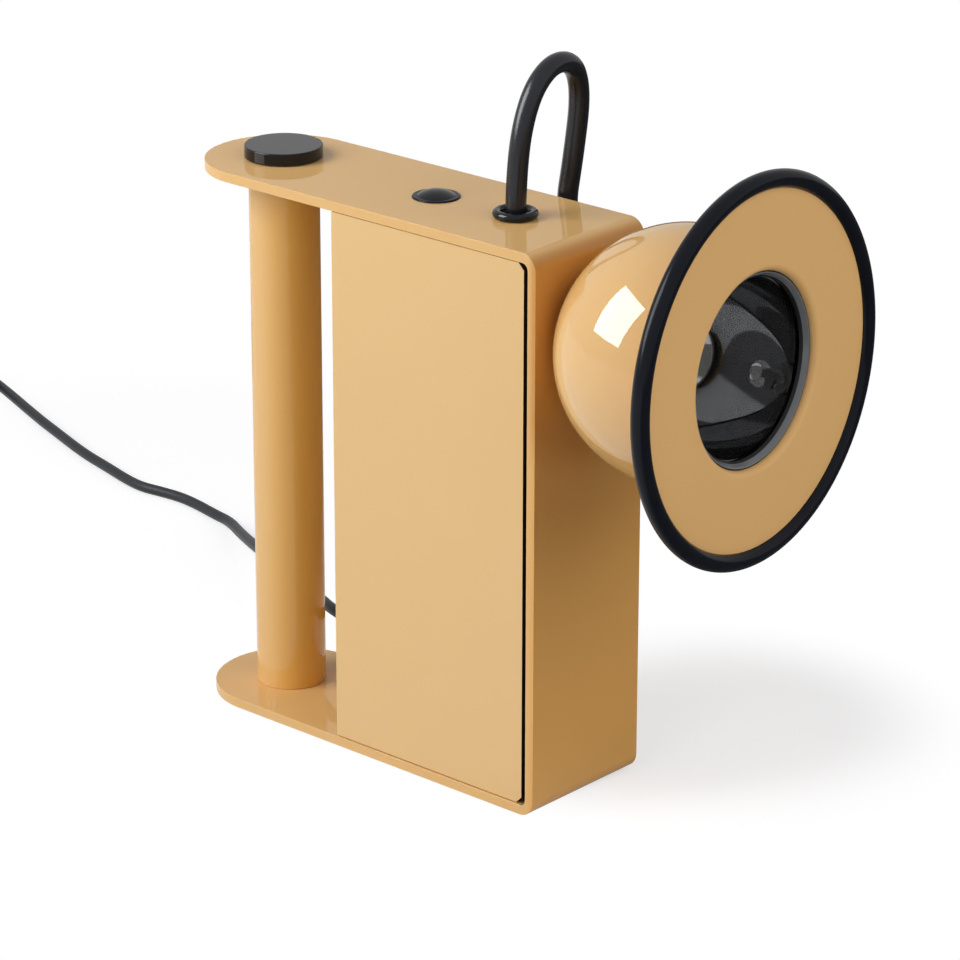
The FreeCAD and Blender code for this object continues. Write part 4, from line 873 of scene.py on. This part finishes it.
glandLook = {
    "bore": 4.35, "barrel": 6.2, "collar": 8.6, "low": 44.2, "base": 52.2, "shoulder": 54.2, "top": 58.2,
    "tip": 6.35, "rounds": [(3, 0.3, 3), (4, 0.8, 4), (5, 0.6, 4)], "steps": 96,
}


def makeGland(look):
    section = [(look["bore"], look["low"]), (look["barrel"], look["low"]), (look["barrel"], look["base"]),
               (look["collar"], look["base"]), (look["collar"], look["shoulder"]),
               (look["tip"], look["top"]), (look["bore"], look["top"])]
    mesh = turnSection(section, look["rounds"], look["steps"])
    showPiece("headGland", moveTo(mesh, alongPole), "gland", "satinBlack", ["head_gland"])


makeGland(glandLook)


reliefLook = {
    "place": (-9.5, 15.5, 31.8), "bore": 2.6, "neck": 4.2, "depth": 6, "flange": 7, "flangeSheet": 1.6,
    "root": 4.6, "tip": 3.3, "length": 22, "grooves": 6, "groove": 1.5, "grooveDepth": 0.75,
    "grooveSlope": 0.2, "first": 4, "last": 3, "rounds": [(3, 0.25, 2), (4, 0.5, 3)], "steps": 64,
}


# a flange with a tapered sleeve that has a row of grooves
def makeRelief(look):
    tip = look["flangeSheet"] + look["length"]
    taper = (look["root"] - look["tip"]) / look["length"]
    step = (look["length"] - look["first"] - look["last"]) / look["grooves"]
    section = [(look["bore"], -look["depth"]), (look["neck"], -look["depth"]), (look["neck"], 0),
               (look["flange"], 0), (look["flange"], look["flangeSheet"]),
               (look["root"], look["flangeSheet"])]
    for index in range(look["grooves"]):
        along = look["first"] + step * index
        outer = look["root"] - taper * along
        deep = outer - look["grooveDepth"]
        near = look["flangeSheet"] + along
        far = near + look["groove"]
        section += [(outer, near), (deep, near + look["grooveSlope"]), (deep, far - look["grooveSlope"]),
                    (outer, far)]
    section += [(look["tip"], tip), (look["bore"], tip)]
    mesh = turnSection(section, look["rounds"], look["steps"])
    moveTo(mesh, Matrix.Rotation(-math.pi / 2, 4, "Y"))
    showPiece("mainsRelief", standAt(mesh, *look["place"]), "base", "satinBlack",
              ["mains_relief"])


makeRelief(reliefLook)


plugLook = {"edge": 0.9, "segments": 3, "tieEdge": 0.25}
plugBody = showPiece("plugBody", easedCopy("mains_plug", plugLook["edge"], plugLook["segments"]), "base",
                     "satinBlack", ["mains_plug"])
coilTie = showPiece("coilTie", easedCopy("cord_tie", plugLook["tieEdge"]), "base", "satinBlack",
                    ["cord_tie"])
print("gland, relief and plug made")


# world is the plain light all round, mirrored what gloss surfaces see of it
# each flag is where x + y starts to darken the floor, where it ends and the level there
# each dark cone is an azimuth, an elevation, a half angle, a soft edge and a level, seen through glass
stageSetup = {
    "floor": 14.0, "drop": 0.0001, "floorColour": (0.55, 0.55, 0.55), "floorRough": 0.9,
    "shadowColour": (0.58, 0.58, 0.59), "shadowLift": 0.56,
    "shadowSpots": (((0.09, 0.09, 0.0), 0.055, 0.12), ((-0.30, 0.12, 0.0), 0.08, 0.20)),
    "world": 0.08, "mirrored": 0.72, "paintFlag": (-0.05, 0.2, 0.1), "glassFlag": (0.38, 0.45, 0.25),
    "darkCones": ((25, -8, 57.5, 1.5, 0.28), (-51, 11, 31, 3, 0.22)),
    "aim": (0.05, 0, 0.13),
}
lamps = {
    "key": {"spot": (-0.582, -0.870, 0.913), "size": (0.78, 0.86), "power": 11.6, "mirrored": True},
    "side": {"spot": (-0.12, -1.97, 1.06), "size": (2.2, 2.2), "power": 18.5, "mirrored": False},
    "front": {"spot": (1.93, 0.33, 1.23), "size": (2.6, 2.6), "power": 30.0, "mirrored": False},
    "top": {"spot": (-0.95, 0.17, 1.90), "size": (1.6, 1.6), "power": 3.0, "mirrored": False},
}
gleamLook = {"power": 9.0, "step": 0.02}


def blendShaders(tree, factor, first, second):
    mix = tree.nodes.new("ShaderNodeMixShader")
    tree.links.new(factor, mix.inputs["Fac"])
    tree.links.new(first, mix.inputs[1])
    tree.links.new(second, mix.inputs[2])
    return mix.outputs[0]


# pure white, apart from the object's own shadow close to it
def whiteFloor(tree, place, setup):
    shade = tree.nodes.new("ShaderNodeBsdfDiffuse")
    shade.inputs["Color"].default_value = (*setup["shadowColour"], 1)
    lift = tree.nodes.new("ShaderNodeEmission")
    lift.inputs["Strength"].default_value = setup["shadowLift"]
    near = tree.nodes.new("ShaderNodeAddShader")
    tree.links.new(shade.outputs[0], near.inputs[0])
    tree.links.new(lift.outputs[0], near.inputs[1])
    far = tree.nodes.new("ShaderNodeEmission")
    seen = far.outputs[0]
    for centre, start, end in setup["shadowSpots"]:
        fade = smoothRange(tree, distanceFrom(tree, place, centre), start, end)
        seen = blendShaders(tree, fade, near.outputs[0], seen)
    return seen


# bright on the lamp's right side and behind it, darker beyond its left front
def flaggedFloor(tree, place, start, end, level):
    split = tree.nodes.new("ShaderNodeSeparateXYZ")
    tree.links.new(place.outputs["Object"], split.inputs[0])
    across = tree.nodes.new("ShaderNodeMath")
    across.operation = "ADD"
    tree.links.new(split.outputs["X"], across.inputs[0])
    tree.links.new(split.outputs["Y"], across.inputs[1])
    glow = tree.nodes.new("ShaderNodeEmission")
    tree.links.new(smoothRange(tree, across.outputs[0], start, end, 1.0, level), glow.inputs["Strength"])
    return glow.outputs[0]


def makeFloor(setup):
    sheet = bmesh.new()
    bmesh.ops.create_grid(sheet, x_segments=1, y_segments=1, size=setup["floor"] / 2)
    mesh = bpy.data.meshes.new("floor")
    sheet.to_mesh(mesh)
    sheet.free()
    floor = bpy.data.objects.new("floor", mesh)
    bpy.context.scene.collection.objects.link(floor)
    floor.location = (0, 0, -setup["drop"])
    material, tree, shader, place = newMaterial("paleFloor")
    shader.inputs["Base Color"].default_value = (*setup["floorColour"], 1)
    shader.inputs["Roughness"].default_value = setup["floorRough"]
    path = tree.nodes.new("ShaderNodeLightPath")
    painted = flaggedFloor(tree, place, *setup["paintFlag"])
    glazed = flaggedFloor(tree, place, *setup["glassFlag"])
    seen = blendShaders(tree, path.outputs["Is Glossy Ray"], shader.outputs[0], painted)
    seen = blendShaders(tree, path.outputs["Is Transmission Ray"], seen, glazed)
    seen = blendShaders(tree, path.outputs["Is Camera Ray"], seen, whiteFloor(tree, place, setup))
    tree.links.new(seen, tree.nodes["Material Output"].inputs["Surface"])
    floor.data.materials.append(material)


def addBackground(tree, strength=1.0):
    background = tree.nodes.new("ShaderNodeBackground")
    background.inputs["Color"].default_value = (1, 1, 1, 1)
    background.inputs["Strength"].default_value = strength
    return background.outputs[0]


# 1 within a cone about a direction, 0 outside it
def withinCone(tree, place, azimuth, elevation, reach, soft):
    level = math.cos(math.radians(elevation))
    way = (level * math.cos(math.radians(azimuth)), level * math.sin(math.radians(azimuth)),
           math.sin(math.radians(elevation)))
    dot = tree.nodes.new("ShaderNodeVectorMath")
    dot.operation = "DOT_PRODUCT"
    dot.inputs[1].default_value = way
    tree.links.new(place.outputs["Generated"], dot.inputs[0])
    return smoothRange(tree, dot.outputs["Value"], math.cos(math.radians(reach + soft)),
                       math.cos(math.radians(reach - soft)))


def makeWorld(setup):
    world = bpy.data.worlds.new("world")
    bpy.context.scene.world = world
    world.use_nodes = True
    tree = world.node_tree
    tree.nodes.remove(tree.nodes["Background"])
    place = tree.nodes.new("ShaderNodeTexCoord")
    path = tree.nodes.new("ShaderNodeLightPath")
    glazed = addBackground(tree)
    for *cone, strength in setup["darkCones"]:
        glazed = blendShaders(tree, withinCone(tree, place, *cone), glazed, addBackground(tree, strength))
    seen = blendShaders(tree, path.outputs["Is Glossy Ray"], addBackground(tree, setup["world"]),
                        addBackground(tree, setup["mirrored"]))
    seen = blendShaders(tree, path.outputs["Is Transmission Ray"], seen, glazed)
    seen = blendShaders(tree, path.outputs["Is Camera Ray"], seen, addBackground(tree))
    tree.links.new(seen, tree.nodes["World Output"].inputs["Surface"])


def addLamp(name, look, aim):
    data = bpy.data.lights.new(name, "AREA")
    data.shape = "RECTANGLE"
    data.size, data.size_y = look["size"]
    data.energy = look["power"]
    lamp = bpy.data.objects.new(name, data)
    lamp.location = look["spot"]
    lamp.rotation_euler = (Vector(aim) - Vector(look["spot"])).to_track_quat("-Z", "Y").to_euler()
    lamp.visible_camera = False
    lamp.visible_glossy = look["mirrored"]
    lamp.visible_transmission = look["mirrored"]
    bpy.context.scene.collection.objects.link(lamp)
    return lamp


# a second lamp just before the key lamp, seen in gloss surfaces only
def addGleam(key, look, aim):
    spot = Vector(key["spot"]) * (1 - look["step"])
    gleam = addLamp("gleam", {**key, "spot": spot, "power": look["power"]}, aim)
    gleam.visible_diffuse = False
    gleam.visible_transmission = False


makeFloor(stageSetup)
makeWorld(stageSetup)
for name, look in lamps.items():
    addLamp(name, look, stageSetup["aim"])
addGleam(lamps["key"], gleamLook, stageSetup["aim"])
bpy.context.scene.view_settings.view_transform = "Standard"
print("stage and lights set")
